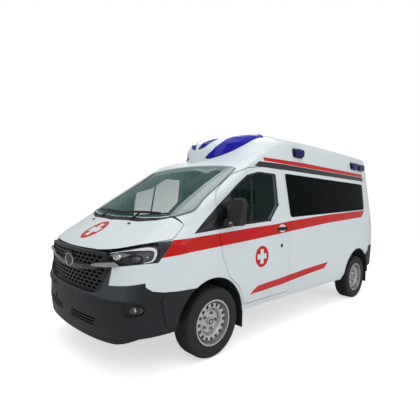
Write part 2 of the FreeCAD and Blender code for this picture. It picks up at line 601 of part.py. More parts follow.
keep("body_side_left", side_left)
keep("body_side_right", side_right)
keep("sliding_side_door", sliding_door)
keep("roof_cap", roof_piece)
keep("bonnet", bonnet)
keep("front_fenders", Part.makeCompound([fender, mirrored(fender)]))
keep("nose_panels", Part.makeCompound([nose, mirrored(nose)]))
keep("front_door_left", door)
keep("front_door_right", mirrored(door))
keep("rear_door_left", rear_door)
keep("rear_door_right", mirrored(rear_door))
keep("windscreen", windscreen)
keep("front_door_glass_left", door_pane)
keep("front_door_glass_right", mirrored(door_pane))
keep("rear_door_glass_left", tail_pane)
keep("rear_door_glass_right", mirrored(tail_pane))
keep("side_glass", Part.makeCompound([side_pane, slide_pane, rear_pane]))
keep("cowl_panel", cowl)
keep("rear_bumper", rear_bumper)
keep("headlamps", Part.makeCompound([lamp, mirrored(lamp)]))
keep("tail_lamps", Part.makeCompound([tail_lamp, mirrored(tail_lamp)]))
keep("door_seals", Part.makeCompound([door_ring, mirrored(door_ring), slide_ring]
                                     + tail_ring.Solids + bonnet_ring.Solids))
keep("floor_pan", floor_pan)
keep("wheel_housings", Part.makeCompound([front_tub, mirrored(front_tub), rear_tub, mirrored(rear_tub)]))

# grille: surround, a mesh of flat six-sided holes and a panel behind it, all bent to the nose
BAR, HOLE_W, HOLE_H = size("grille_bar"), size("grille_hole_width"), size("grille_hole_height")
NOSE_R = size("nose_radius")
nose_front = fa(-1016)


def nose_layer(near, far):
    """Space between two depths behind the curved front of the grille."""
    middle = nose_front + NOSE_R
    block = box(-700, 700, fa(-1300), fa(-600), 700, 1080)
    front = Part.makeCylinder(NOSE_R - near, 500, Vector(0, middle, 650))
    back = Part.makeCylinder(NOSE_R - far, 500, Vector(0, middle, 650))
    return block.common(front).cut(back)


def ring_wire(points):
    return Part.makePolygon([Vector(a, fa(-1300), b) for a, b in points + points[:1]])


grille_zone = prism("xz", grille_outline, fa(-1300), fa(-600), 30, -SEAM)
inner_zone = prism("xz", grille_outline, fa(-1300), fa(-600), 20, -20)
surround = nose_layer(4, 34).common(grille_zone).cut(inner_zone)
low_z, high_z = 686 + 18, 1050 - 18
holes = []
rows = int((high_z - low_z) / (HOLE_H + BAR))
first_z = (low_z + high_z) / 2 - (rows - 1) / 2 * (HOLE_H + BAR)
for row in range(rows):
    z_row = first_z + row * (HOLE_H + BAR)
    if z_row < 736:
        reach = 455 + (z_row - 686) * 123 / 50 - 50
    elif z_row < 935:
        reach = 578 + (z_row - 736) * 62 / 199 - 30
    else:
        reach = 640 - (z_row - 935) * 65 / 115 - 36
    shift = (HOLE_W + BAR) / 2 * (row % 2)
    count = int(reach / (HOLE_W + BAR)) + 1
    for k in range(-count, count + 1):
        x_hole = k * (HOLE_W + BAR) + shift
        if abs(x_hole) + HOLE_W / 2 > reach:
            continue
        w, h = HOLE_W / 2, HOLE_H / 2
        holes.append([(x_hole - w, z_row), (x_hole - w + 16, z_row - h), (x_hole + w - 16, z_row - h),
                      (x_hole + w, z_row), (x_hole + w - 16, z_row + h), (x_hole - w + 16, z_row + h)])
mesh_edge = offset_polygon(grille_outline, [0] * len(grille_outline), -16)[0]
sheet_face = Part.Face([ring_wire(mesh_edge)] + [ring_wire(h) for h in holes], "Part::FaceMakerBullseye")
mesh_bars = sheet_face.extrude(Vector(0, 700, 0)).common(nose_layer(12, 34))
back_panel = nose_layer(33, 40).common(grille_zone)
badge = Part.Face(Part.Wire(Part.Ellipse(Vector(0, 0, 0), 86, 36).toShape())).extrude(Vector(0, 0, 60))
badge.rotate(Vector(0, 0, 0), Vector(1, 0, 0), 90)
badge.translate(Vector(0, fa(-960), 973))
badge = badge.common(nose_layer(-2, 36))
grille = surround.fuse([mesh_bars, back_panel, badge])
keep("grille", biggest(grille))

# roof beacon: a boat shaped housing with a long and a short blue lens on each side
BW, BF = size("beacon_width") / 2, size("beacon_front")
above = hull(-SEAT)
BEACON_PLAN = [(1, 1.0), (1.0, .74), (.975, .60), (.915, .43), (.835, .30), (.735, .18), (.61, .10),
               (.45, .045),
               (.23, .012), (0, 0)]
BEACON_LEVELS = [(1900, 1.0, -15), (2060, 1.0, 0), (2170, 1.0, 18), (2250, .985, 60), (2310, .955,
                 150), (2365, .92, 295),
                 (2415, .87, 465), (2455, .78, 615), (2486, .60, 750)]
BEACON_KNOTS = knots(both_sides([(-w * 505, d * 1160) for w, d in BEACON_PLAN]))


def beacon_level(z, share, back):
    depth = 1720 - BF - back
    run = both_sides([(-w * BW * share, fa(BF + back + d * depth)) for w, d in BEACON_PLAN])
    run = [(x, y, up(z)) for x, y in run]
    return Part.Wire([spline(run, BEACON_KNOTS), segment(run[-1], run[0])])


beacon = Part.makeLoft([beacon_level(*level) for level in BEACON_LEVELS], True, True)
beacon = biggest(beacon.cut(above))


def side_prism(outline, radius, grow):
    return prism("yz", [(fa(a), up(b)) for a, b in outline], 128 - grow, WIDE, radius, grow)


def front_prism(outline, radius, grow):
    return prism("xz", [(a, up(b)) for a, b in outline], fa(500), fa(1000), radius, grow)


LONG_LENS = [(572, 2032), (604, 2110), (655, 2190), (730, 2258), (820, 2314), (940, 2366), (1080,
             2412), (1230, 2446),
             (1400, 2470), (1420, 2412), (1150, 2318), (966, 2234), (800, 2144), (680, 2082)]
SHORT_LENS = [(24, 2166), (40, 2212), (72, 2266), (118, 2304), (172, 2328), (212, 2324), (186, 2268),
              (118, 2198)]
long_hole, short_hole = side_prism(LONG_LENS, 40, 0), front_prism(SHORT_LENS, 20, 0)
beacon_body = biggest(beacon.cut([long_hole, mirrored(long_hole), short_hole, mirrored(short_hole)]))
long_lens = biggest(beacon.common(side_prism(LONG_LENS, 40, -SEAT)))
short_lens = biggest(beacon.common(front_prism(SHORT_LENS, 20, -SEAT)))
keep("beacon_housing", beacon_body)
keep("beacon_lenses", Part.makeCompound([long_lens, mirrored(long_lens), short_lens, mirrored(short_lens)]))

SL, SH, SD = size("side_lamp_length"), size("side_lamp_height"), size("side_lamp_depth")
side_lamps = []
for y_lamp, z_lamp in ((fa(1590), 2176), (ra(24), 2172), (ra(292), 2168)):
    outline = [(y_lamp - SL / 2, up(z_lamp) - SH / 2), (y_lamp + SL / 2, up(z_lamp) - SH / 2),
               (y_lamp + SL / 2, up(z_lamp) + SH / 2), (y_lamp - SL / 2, up(z_lamp) + SH / 2)]
    x_out = HALF * .863 + SD
    block = prism("yz", outline, HALF * .80, x_out, 40)
    near = above.common(box(700, WIDE, y_lamp - SL, y_lamp + SL, up(z_lamp) - SL, up(z_lamp) + SL))
    block = biggest(block.cut(near))
    side_lamps += [block, mirrored(block)]
keep("side_beacons", Part.makeCompound(side_lamps))

# mirrors on the door skin
MW, MH, MD = size("mirror_width"), size("mirror_height"), size("mirror_depth")
mirror_y = fa(165)
head_block = prism("yz", [(mirror_y - MD / 2, 1275), (mirror_y + MD / 2 - 12, 1268),
                          (mirror_y + MD / 2, 1268 + MH), (mirror_y - MD / 2 + 50, 1262 + MH)],
                   HALF + 15, HALF + 15 + MW, [40, 20, 20, 50])
head_block = head_block.common(prism("xz", [(HALF + 15, 1268), (HALF + 10 + MW, 1285), (HALF + 15 + MW, 1500),
                                            (HALF - 15 + MW, 1275 + MH), (HALF + 40, 1275 + MH),
                                            (HALF + 15, 1460)], fa(0), fa(400), [30, 40, 60, 50, 40, 30]))
root = [(mirror_y - 112, 1262), (mirror_y + 48, 1262), (mirror_y + 44, 1352), (mirror_y + 4, 1372),
        (mirror_y - 62, 1334)]
tip = [(mirror_y - 44, 1286), (mirror_y + 38, 1286), (mirror_y + 34, 1334), (mirror_y + 6, 1344),
       (mirror_y - 34, 1326)]
arm_ends = [Part.makePolygon([Vector(x_end, a, b) for a, b in ends + ends[:1]])
            for x_end, ends in ((900, root), (HALF + 75, tip))]
arm = Part.makeLoft(arm_ends, True, True)
mirror = biggest(head_block.fuse(arm).cut(above))
keep("mirror_left", mirror)
keep("mirror_right", mirrored(mirror))

# wipers lie on the windscreen
wiper_out, wiper_in = hull(-14), hull(-2)
sweep = []
for x_pivot, y_pivot, x0, y0, x1, y1 in ((-300, -540, -600, -412, 20, -478), (330, -538, 40, -478, 620, -404)):
    blade = prism("xy", [(x0, fa(y0 - 7)), (x1, fa(y1 - 7)), (x1, fa(y1 + 7)), (x0, fa(y0 + 7))], 1200, 1700)
    x_mid, y_mid = (x0 + x1) / 2, (y0 + y1) / 2
    arm = prism("xy", [(x_pivot - 13, fa(y_pivot)), (x_pivot + 13, fa(y_pivot)), (x_mid + 8, fa(y_mid)),
                       (x_mid - 8, fa(y_mid))], 1200, 1700)
    boss = rod((x_pivot, fa(y_pivot), 1200), (x_pivot, fa(y_pivot), 1700), 14)
    bars = biggest(wiper_out.common(blade.fuse([arm, boss])).cut(wiper_in))
    sweep.append(biggest(bars.fuse(wiper_out.common(boss).cut(above))))
keep("wipers", Part.makeCompound(sweep))

# inside the cab
dash_profile = [(fa(-440), 1140), (fa(-440), 1230), (fa(-230), 1290), (fa(40), 1262), (fa(150), 1175),
                (fa(160), 960), (fa(60), 850), (fa(-250), 830)]
dash = cabin.common(prism("yz", dash_profile, -WIDE, WIDE, [20, 40, 60, 60, 50, 40, 40, 40]))
console = box(-130, 130, fa(-40), fa(120), FLOOR, 900)
SWR, SWT = size("steering_wheel_radius"), size("steering_wheel_rim")
rake = math.radians(size("steering_wheel_rake"))
wheel_c = Vector(415, fa(352), 1148)
axis = Vector(0, math.cos(rake), math.sin(rake))
column = rod(tuple(wheel_c - axis * 330), tuple(wheel_c - axis * 44), 26)
dash = biggest(dash.fuse([console, column]))
keep("dashboard", dash)
seat_profile = [(0, 0), (430, 0), (480, 260), (560, 900), (470, 930), (395, 420), (-30, 400), (-60, 330),
                (0, 250)]
SEATW, SEATL = size("seat_width"), size("seat_length")
seats = []
for x_seat in (415, -415):
    k = SEATL / 500.0
    hgt = (size("seat_height") - FLOOR) / 320.0
    prof = [(fa(600) + a * k, FLOOR + b * .8 * hgt) for a, b in seat_profile]
    cushion = prism("yz", prof, x_seat - SEATW / 2, x_seat + SEATW / 2, [20, 20, 60, 40, 40, 60, 50, 30, 20])
    y_back, top = fa(600), FLOOR + 744 * hgt
    head = prism("yz", [(y_back + 470 * k, top + 30), (y_back + 560 * k, top + 30),
                        (y_back + 575 * k, top + 210), (y_back + 500 * k, top + 210)],
                 x_seat - 130, x_seat + 130, 25)
    post = rod((x_seat, y_back + 520 * k, FLOOR + 600 * hgt), (x_seat, y_back + 520 * k, top + 60), 9)
    seats.append(biggest(cushion.fuse([head, post])))
keep("front_seats", Part.makeCompound(seats))
partition = cabin.common(box(-WIDE, WIDE, DOOR_REAR + 3, DOOR_REAR + 15, FLOOR, 1925)).cut(
    prism("xz", [(-420, 1330), (420, 1330), (420, 1700), (-420, 1700)], fa(1000), fa(1500), 50))
keep("partition", biggest(partition))

# engine, under body and running gear
keep("engine", prism("xz", [(-280, 420), (280, 420), (280, 740), (200, 810), (-200, 810), (-280, 740)],
                     fa(-620), fa(-70), 20))
ARM_Z, UP_Z = size("arm_height"), size("upper_arm_height")
KX = TRACK_F - size("kingpin_inset")
KR = size("kingpin_radius")
strut_top = front_arch_z + math.sqrt((R_FRONT - SEAT - LT) ** 2 - (abs(front_arch_y - fa(0)) + 30) ** 2) - SEAT
frame = [box(-500, 500, fa(-180), fa(60), ARM_Z - 20, ARM_Z + 30)]
for sgn in (1, -1):
    frame += [box(min(sgn * 470, sgn * (KX + KR)), max(sgn * 470, sgn * (KX + KR)), fa(-25), fa(25),
                  ARM_Z - 15, ARM_Z + 15),
              box(min(sgn * 480, sgn * 520), max(sgn * 480, sgn * 520), fa(-30), fa(30), ARM_Z, UP_Z + 15),
              box(min(sgn * 500, sgn * (KX + KR)), max(sgn * 500, sgn * (KX + KR)), fa(-20), fa(20),
                  UP_Z - 15, UP_Z + 15),
              rod((sgn * 680, fa(0), UP_Z), (sgn * 680, fa(0), strut_top), 28),
              box(min(sgn * 170, sgn * 230), max(sgn * 170, sgn * 230), fa(-175), fa(-90), ARM_Z, 420)]
keep("front_suspension", biggest(frame[0].fuse(frame[1:])))

# wheels: each tyre and rim turns about its own X axis
TYRE = [("-Sizes.tyre_width/2 + 18", "Sizes.bead_radius"), ("-Sizes.tyre_width/2 + 18", "Sizes.rim_flange + 1"),
        ("-Sizes.tyre_width/2", "Sizes.tyre_radius - 74"), ("-Sizes.tyre_width/2", "Sizes.tyre_radius - 43"),
        ("-Sizes.tyre_width/2 + 16", "Sizes.tyre_radius - 9"),
        ("-Sizes.tyre_width/2 + 44", "Sizes.tyre_radius"),
        ("Sizes.tyre_width/2 - 44", "Sizes.tyre_radius"), ("Sizes.tyre_width/2 - 16", "Sizes.tyre_radius - 9"),
        ("Sizes.tyre_width/2", "Sizes.tyre_radius - 43"), ("Sizes.tyre_width/2", "Sizes.tyre_radius - 74"),
        ("Sizes.tyre_width/2 - 18", "Sizes.rim_flange + 1"), ("Sizes.tyre_width/2 - 18", "Sizes.bead_radius")]
LIP = "(Sizes.tyre_width/2 - 18 + Sizes.glass_gap)"
RIM = [(LIP + " + Sizes.rim_skin", "Sizes.rim_flange"), (LIP, "Sizes.rim_flange"),
       (LIP, "Sizes.bead_radius - Sizes.glass_gap"), ("-" + LIP, "Sizes.bead_radius - Sizes.glass_gap"),
       ("-" + LIP, "Sizes.rim_flange"), ("-" + LIP + " - Sizes.rim_skin", "Sizes.rim_flange"),
       ("-" + LIP + " - Sizes.rim_skin", "Sizes.bead_radius - Sizes.rim_skin"),
       ("62 - 2*Sizes.rim_skin", "Sizes.bead_radius - Sizes.rim_skin"),
       ("70 - Sizes.rim_skin", "Sizes.vent_circle + 20"), ("72 - Sizes.rim_skin", "Sizes.vent_circle"),
       ("66 - Sizes.rim_skin", "Sizes.vent_circle - 24"),
       ("71 - Sizes.dish_depth - Sizes.rim_skin", "Sizes.stud_circle + 34"),
       ("70 - Sizes.dish_depth - Sizes.rim_skin", "Sizes.hub_bore"),
       ("80 - Sizes.dish_depth", "Sizes.hub_bore"), ("80 - Sizes.dish_depth", "0"),
       ("94 - Sizes.dish_depth", "0"), ("94 - Sizes.dish_depth", "Sizes.hub_bore - 4"),
       ("90 - Sizes.dish_depth", "Sizes.hub_bore + 7"), ("70 - Sizes.dish_depth", "Sizes.hub_bore + 9"),
       ("70 - Sizes.dish_depth", "Sizes.stud_circle + 32"), ("66", "Sizes.vent_circle - 26"),
       ("72", "Sizes.vent_circle"), ("70", "Sizes.vent_circle + 22"),
       ("64 - Sizes.rim_skin", "Sizes.bead_radius - Sizes.rim_skin"),
       (LIP + " + Sizes.rim_skin", "Sizes.bead_radius - 0.7*Sizes.rim_skin")]


def wheel(suffix, x, y):
    side = 1 if x > 0 else -1
    place = Placement(Vector(x, y, WHEEL_Z), Rotation(Vector(0, 0, 1), 0 if side > 0 else 180))
    tyre = revolved("tyre_" + suffix, TYRE)
    tyre.Placement = place
    disc = revolved("disc_" + suffix, RIM)
    vents, studs = [], []
    count = int(size("vent_count"))
    for k in range(count):
        a = 2 * math.pi * k / count
        r = size("vent_circle")
        vents.append(primitive("Cylinder", "vent_%s_%d" % (suffix, k),
                               Placement(Vector(20, r * math.cos(a), r * math.sin(a)),
                                         Rotation(Vector(0, 1, 0), 90)),
                               Radius="Sizes.vent_radius", Height="80"))
    count = int(size("stud_count"))
    for k in range(count):
        a = 2 * math.pi * k / count
        r = size("stud_circle")
        studs.append(primitive("Cylinder", "stud_%s_%d" % (suffix, k),
                               Placement(Vector(66 - size("dish_depth"), r * math.cos(a), r * math.sin(a)),
                                         Rotation(Vector(0, 1, 0), 90)),
                               Radius="Sizes.stud_radius", Height="18"))
    bored = boolean("Cut", "bored_" + suffix, disc, [boolean("Fuse", "vents_" + suffix, vents[0], vents[1:])])
    rim = boolean("Fuse", "rim_" + suffix, bored, studs)
    rim.Placement = place


wheel("front_left", TRACK_F, FRONT_AXLE)
wheel("front_right", -TRACK_F, FRONT_AXLE)
wheel("rear_left", TRACK_R, REAR_AXLE)
wheel("rear_right", -TRACK_R, REAR_AXLE)

def knuckle(label, side):
    post = primitive("Cylinder", label + "_post", Placement(Vector(side * KX, FRONT_AXLE, ARM_Z + 15 + SEAT),
                                                            Rotation()),
                     Radius="Sizes.kingpin_radius",
                     Height="Sizes.upper_arm_height - Sizes.arm_height - 30 - 2*Sizes.glass_gap")
    turn = Rotation(Vector(0, 1, 0), 90 * side)
    spindle = primitive("Cylinder", label + "_spindle", Placement(Vector(side * KX, FRONT_AXLE, WHEEL_Z), turn),
                        Radius="Sizes.hub_bore - Sizes.spindle_play",
                        Height="Sizes.kingpin_inset + 79.5 - Sizes.dish_depth")
    at = Vector(side * (TRACK_F - 40), FRONT_AXLE, WHEEL_Z)
    drum = primitive("Cylinder", label + "_drum", Placement(at, turn),
                     Radius="Sizes.stud_circle + 35", Height="50")
    boolean("Fuse", label, post, [spindle, drum])


knuckle("knuckle_left", 1)
knuckle("knuckle_right", -1)

beam = primitive("Cylinder", "axle_tube", Placement(Vector(-(TRACK_R - 100), REAR_AXLE, WHEEL_Z),
                                                    Rotation(Vector(0, 1, 0), 90)),
                 Radius="Sizes.axle_tube_radius", Height="Sizes.rear_track - 200")
pieces = []
SPX = liner_in_rear - 130
SW2, SLEN = size("spring_width"), size("spring_length")
for side in (1, -1):
    turn = Rotation(Vector(0, 1, 0), 90 * side)
    pieces.append(primitive("Cylinder", "rear_spindle_%d" % (side + 1),
                            Placement(Vector(side * (TRACK_R - 120), REAR_AXLE, WHEEL_Z), turn),
                            Radius="Sizes.hub_bore - Sizes.spindle_play",
                            Height="120 + 79.5 - Sizes.dish_depth"))
    pieces.append(primitive("Cylinder", "rear_drum_%d" % (side + 1),
                            Placement(Vector(side * (TRACK_R - 100), REAR_AXLE, WHEEL_Z), turn),
                            Radius="Sizes.stud_circle + 60", Height="80"))
    z0, z1 = WHEEL_Z + 44, FLOOR - FLOOR_T - 40
    a, b = REAR_AXLE - SLEN / 2, REAR_AXLE + SLEN / 2
    x0 = side * SPX - SW2 / 2
    low = Part.Arc(Vector(x0, a, z1), Vector(x0, REAR_AXLE, z0), Vector(x0, b, z1)).toShape()
    high = Part.Arc(Vector(x0, b, z1 + 24), Vector(x0, REAR_AXLE, z0 + 24), Vector(x0, a, z1 + 24)).toShape()
    leaf = Part.Face(Part.Wire([low, Part.makeLine(Vector(x0, b, z1), Vector(x0, b, z1 + 24)), high,
                                Part.makeLine(Vector(x0, a, z1 + 24), Vector(x0, a, z1))])
                     ).extrude(Vector(SW2, 0, 0))
    leaf_feature = doc.addObject("Part::Feature", "leaf_%d" % (side + 1))
    leaf_feature.Shape = leaf
    pieces.append(leaf_feature)
    for y in (a, b):
        pieces.append(primitive("Box", "hanger_%d_%d" % (side + 1, y > 0 and y == b),
                                Placement(Vector(x0, y - 20, z1), Rotation()),
                                Length="Sizes.spring_width", Width="40", Height="40 - Sizes.glass_gap"))
    pieces.append(primitive("Box", "spring_seat_%d" % (side + 1),
                            Placement(Vector(x0, REAR_AXLE - 45, WHEEL_Z), Rotation()),
                            Length="Sizes.spring_width", Width="90", Height="60"))
boolean("Fuse", "rear_suspension", beam, pieces)

tank = primitive("Box", "fuel_tank", Placement(Vector(230, fa(900), FLOOR - FLOOR_T - 190), Rotation()),
                 Length="400", Width="760", Height="190")
pipe_y = fa(100)
pipe = primitive("Cylinder", "exhaust_pipe", Placement(Vector(-230, pipe_y, 400), Rotation(Vector(1, 0,
                 0), -90)),
                 Radius="Sizes.exhaust_radius", Height="Sizes.wheelbase - 600")
silencer = primitive("Cylinder", "silencer", Placement(Vector(-230, fa(1500), 400), Rotation(Vector(1,
                     0, 0), -90)),
                     Radius="Sizes.exhaust_radius + 62", Height="620")
straps = [primitive("Box", "strap_%d" % k, Placement(Vector(-240, fa(y), 400), Rotation()),
                    Length="20", Width="30", Height="Sizes.floor_height - Sizes.floor_thickness - 400")
          for k, y in enumerate((400, 1800, 2500))]
boolean("Fuse", "exhaust", pipe, [silencer] + straps)

flaps = []
for k, (x, y, top) in enumerate(((788, fa(428), SILL), (-962, fa(428), SILL), (770, ra(484), 470),
                                (-944, ra(484), 470))):
    flaps.append(primitive("Box", "flap_%d" % k, Placement(Vector(x, y, 196), Rotation()),
                           Length="174", Width="6", Height="%g - 196" % (top - 0.3)))
flap_set = doc.addObject("Part::Compound", "mud_flaps")
flap_set.Links = flaps

ring = primitive("Torus", "steering_ring", None, Radius1="Sizes.steering_wheel_radius",
                 Radius2="Sizes.steering_wheel_rim")
hub = primitive("Cylinder", "steering_hub", Placement(Vector(0, 0, -44 + SEAT), Rotation()),
                Radius="45", Height="42")
spokes = [primitive("Box", "spoke_%d" % k, Placement(Vector(0, -15, -18) if k == 0 else
                                                     Rotation(Vector(0, 0, 1), a).multVec(Vector(0, -15, -18)),
                                                     Rotation(Vector(0, 0, 1), a)),
                    Length="Sizes.steering_wheel_radius", Width="30", Height="14")
          for k, a in enumerate((0, 180, 270))]
steering = boolean("Fuse", "steering_wheel", ring, [hub] + spokes)
steering.Placement = Placement(wheel_c, Rotation(Vector(0, 0, 1), axis))

# fog lamps sit in round holes at the back of a recess in the bumper
FOG_X, FOG_Z, FOG_R, RECESS = 862, 596, size("fog_lamp_radius"), size("fog_recess_depth")
fog_hole = rod((FOG_X, fa(-1100), FOG_Z), (FOG_X, fa(-600), FOG_Z), FOG_R + SEAT)
fog = rod((FOG_X, fa(-1100), FOG_Z), (FOG_X, fa(-600), FOG_Z), FOG_R)
fog = biggest(fog.common(hull(RECESS - 10)).cut(hull(RECESS + 24)))
recess = prism("xz", [(792, 640), (884, 652), (908, 622), (904, 566), (872, 544), (806, 548), (782, 592)],
               fa(-1100), fa(-600), 12).cut(hull(RECESS))
keep("fog_lamps", Part.makeCompound([fog, mirrored(fog)]))
tow_x, tow_z, TOW = -310, 510, size("tow_socket_radius")
boss = box(tow_x - 30, tow_x + 30, fa(-975), fa(-940), tow_z - 30, tow_z + 30)
front_bumper = front_bumper.fuse(boss).cut([
    rod((tow_x, fa(-1100), tow_z), (tow_x, fa(-1000), tow_z), 22),
    rod((tow_x, fa(-1100), tow_z), (tow_x, fa(-960), tow_z), TOW),
    fog_hole, mirrored(fog_hole), recess, mirrored(recess)])
SLOT = size("intake_slot")
intakes = []
for k in range(3):
    z_slot = 418 + k * 1.7 * SLOT
    slot = prism("xz", [(100 + 6 * k, z_slot), (500 + 8 * k, z_slot), (508 + 8 * k, z_slot + SLOT),
                        (94 + 6 * k, z_slot + SLOT)], fa(-1100), fa(-850), 5)
    intakes += [slot, mirrored(slot)]
front_bumper = biggest(front_bumper.cut(intakes))
keep("front_bumper", front_bumper)

doc.recompute()
bad = [o.Label for o in doc.Objects if "Invalid" in o.State or "Error" in o.State]
if bad:
    raise RuntimeError("failed: %s" % bad)
os.makedirs("parts", exist_ok=True)
for feature in doc.Objects:
    if not hasattr(feature, "Shape") or feature.Shape.isNull() or not feature.Shape.Solids:
        continue
    if feature.InList:
        continue
    if not feature.Shape.isValid():
        print("invalid shape", feature.Label)
    print(feature.Label, len(feature.Shape.Solids), round(feature.Shape.Volume / 1e6, 2),
          feature.Shape.BoundBox)
    feature.Shape.exportStep("parts/%s.step" % feature.Label)
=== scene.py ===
"""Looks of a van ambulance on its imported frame: paint and stripes, glass, lamps, tyres and small parts."""

import math
from functools import reduce

import bmesh
import bpy
from bpy.props import FloatProperty, FloatVectorProperty, IntProperty, PointerProperty
from mathutils import Matrix, Vector
from mathutils.bvhtree import BVHTree


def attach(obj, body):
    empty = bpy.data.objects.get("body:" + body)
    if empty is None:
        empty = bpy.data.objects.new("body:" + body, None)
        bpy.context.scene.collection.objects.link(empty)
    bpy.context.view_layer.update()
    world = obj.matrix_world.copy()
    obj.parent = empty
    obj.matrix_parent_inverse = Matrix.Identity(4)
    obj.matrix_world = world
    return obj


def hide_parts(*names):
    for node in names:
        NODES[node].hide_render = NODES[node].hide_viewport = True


bl_info = {
    "name": "Van ambulance",
    "version": (1, 0, 0),
    "blender": (4, 5, 0),
    "location": "3D View > Sidebar > Ambulance",
    "description": "Paint, glass, lamps, tyres and fittings of a van ambulance",
    "category": "Object",
}

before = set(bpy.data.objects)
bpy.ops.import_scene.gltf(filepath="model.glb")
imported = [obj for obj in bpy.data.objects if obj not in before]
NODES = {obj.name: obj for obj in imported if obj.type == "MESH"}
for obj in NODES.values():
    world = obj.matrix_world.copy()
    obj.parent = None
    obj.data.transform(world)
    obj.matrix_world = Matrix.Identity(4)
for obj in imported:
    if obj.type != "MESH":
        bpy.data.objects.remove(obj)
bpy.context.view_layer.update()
FRONT_AXLE = -1.641
REAR_AXLE = 1.659


def fa(y):
    """Millimetres behind the front axle as metres along the vehicle."""
    return FRONT_AXLE + y / 1000


class PaintSettings(bpy.types.PropertyGroup):
    white: FloatVectorProperty(name="White", description="Body paint", subtype="COLOR",
                               default=(0.73, 0.80, 0.83))
    red: FloatVectorProperty(name="Red", description="Stripes and door marks", subtype="COLOR",
                             default=(0.58, 0.006, 0.004))
    band: FloatVectorProperty(name="Roof band", description="Dark band over the windows", subtype="COLOR",
                              default=(0.028, 0.030, 0.036))
    plastic: FloatVectorProperty(name="Bumper plastic", description="Grained dark plastic", subtype="COLOR",
                                 default=(0.013, 0.016, 0.019))
    mark_radius: FloatProperty(name="Door mark", description="Radius of the round mark on the front doors",
                               default=0.118, unit="LENGTH")


class TyreSettings(bpy.types.PropertyGroup):
    groove: FloatProperty(name="Groove depth", description="Depth of the tread grooves", default=0.0075,
                          unit="LENGTH")
    pitches: IntProperty(name="Pitches", description="Tread blocks round the tyre", default=72, min=24,
                         max=96)
    rubber: FloatVectorProperty(name="Rubber", description="Tyre colour", subtype="COLOR",
                                default=(0.011, 0.012, 0.013))


class LampSettings(bpy.types.PropertyGroup):
    blue: FloatVectorProperty(name="Blue", description="Beacon lenses", subtype="COLOR",
                              default=(0.003, 0.003, 0.42))
    reach: FloatProperty(name="Eye size",
                         description="Size of the headlamp's round parts against the real ones", default=1.0)


class StageSettings(bpy.types.PropertyGroup):
    floor: FloatVectorProperty(name="Floor", description="Floor colour", subtype="COLOR",
                               default=(0.86, 0.86, 0.86))
    sky: FloatProperty(name="Soft light", description="Level of the light from all round", default=0.48,
                       min=0.0)
    key: FloatProperty(name="Key light", description="Level of the lamp from the front left", default=0.62,
                       min=0.0)
    lens: FloatProperty(name="Lens", description="Focal length of the camera in millimetres", default=28.47,
                        min=10.0)


TURN = 2 * math.pi
SIDES = ((1, "left"), (-1, "right"))
WHEEL_RADIUS = 0.343
WHEELS = {"front_left": (0.870, FRONT_AXLE), "front_right": (-0.870, FRONT_AXLE),
          "rear_left": (0.862, REAR_AXLE), "rear_right": (-0.862, REAR_AXLE)}
MATERIALS = {}


def settings(group):
    return getattr(bpy.context.scene, "ambulance_" + group)


def toned(colour, share):
    """A colour made lighter or darker."""
    return tuple(min(1.0, c * share) for c in colour)


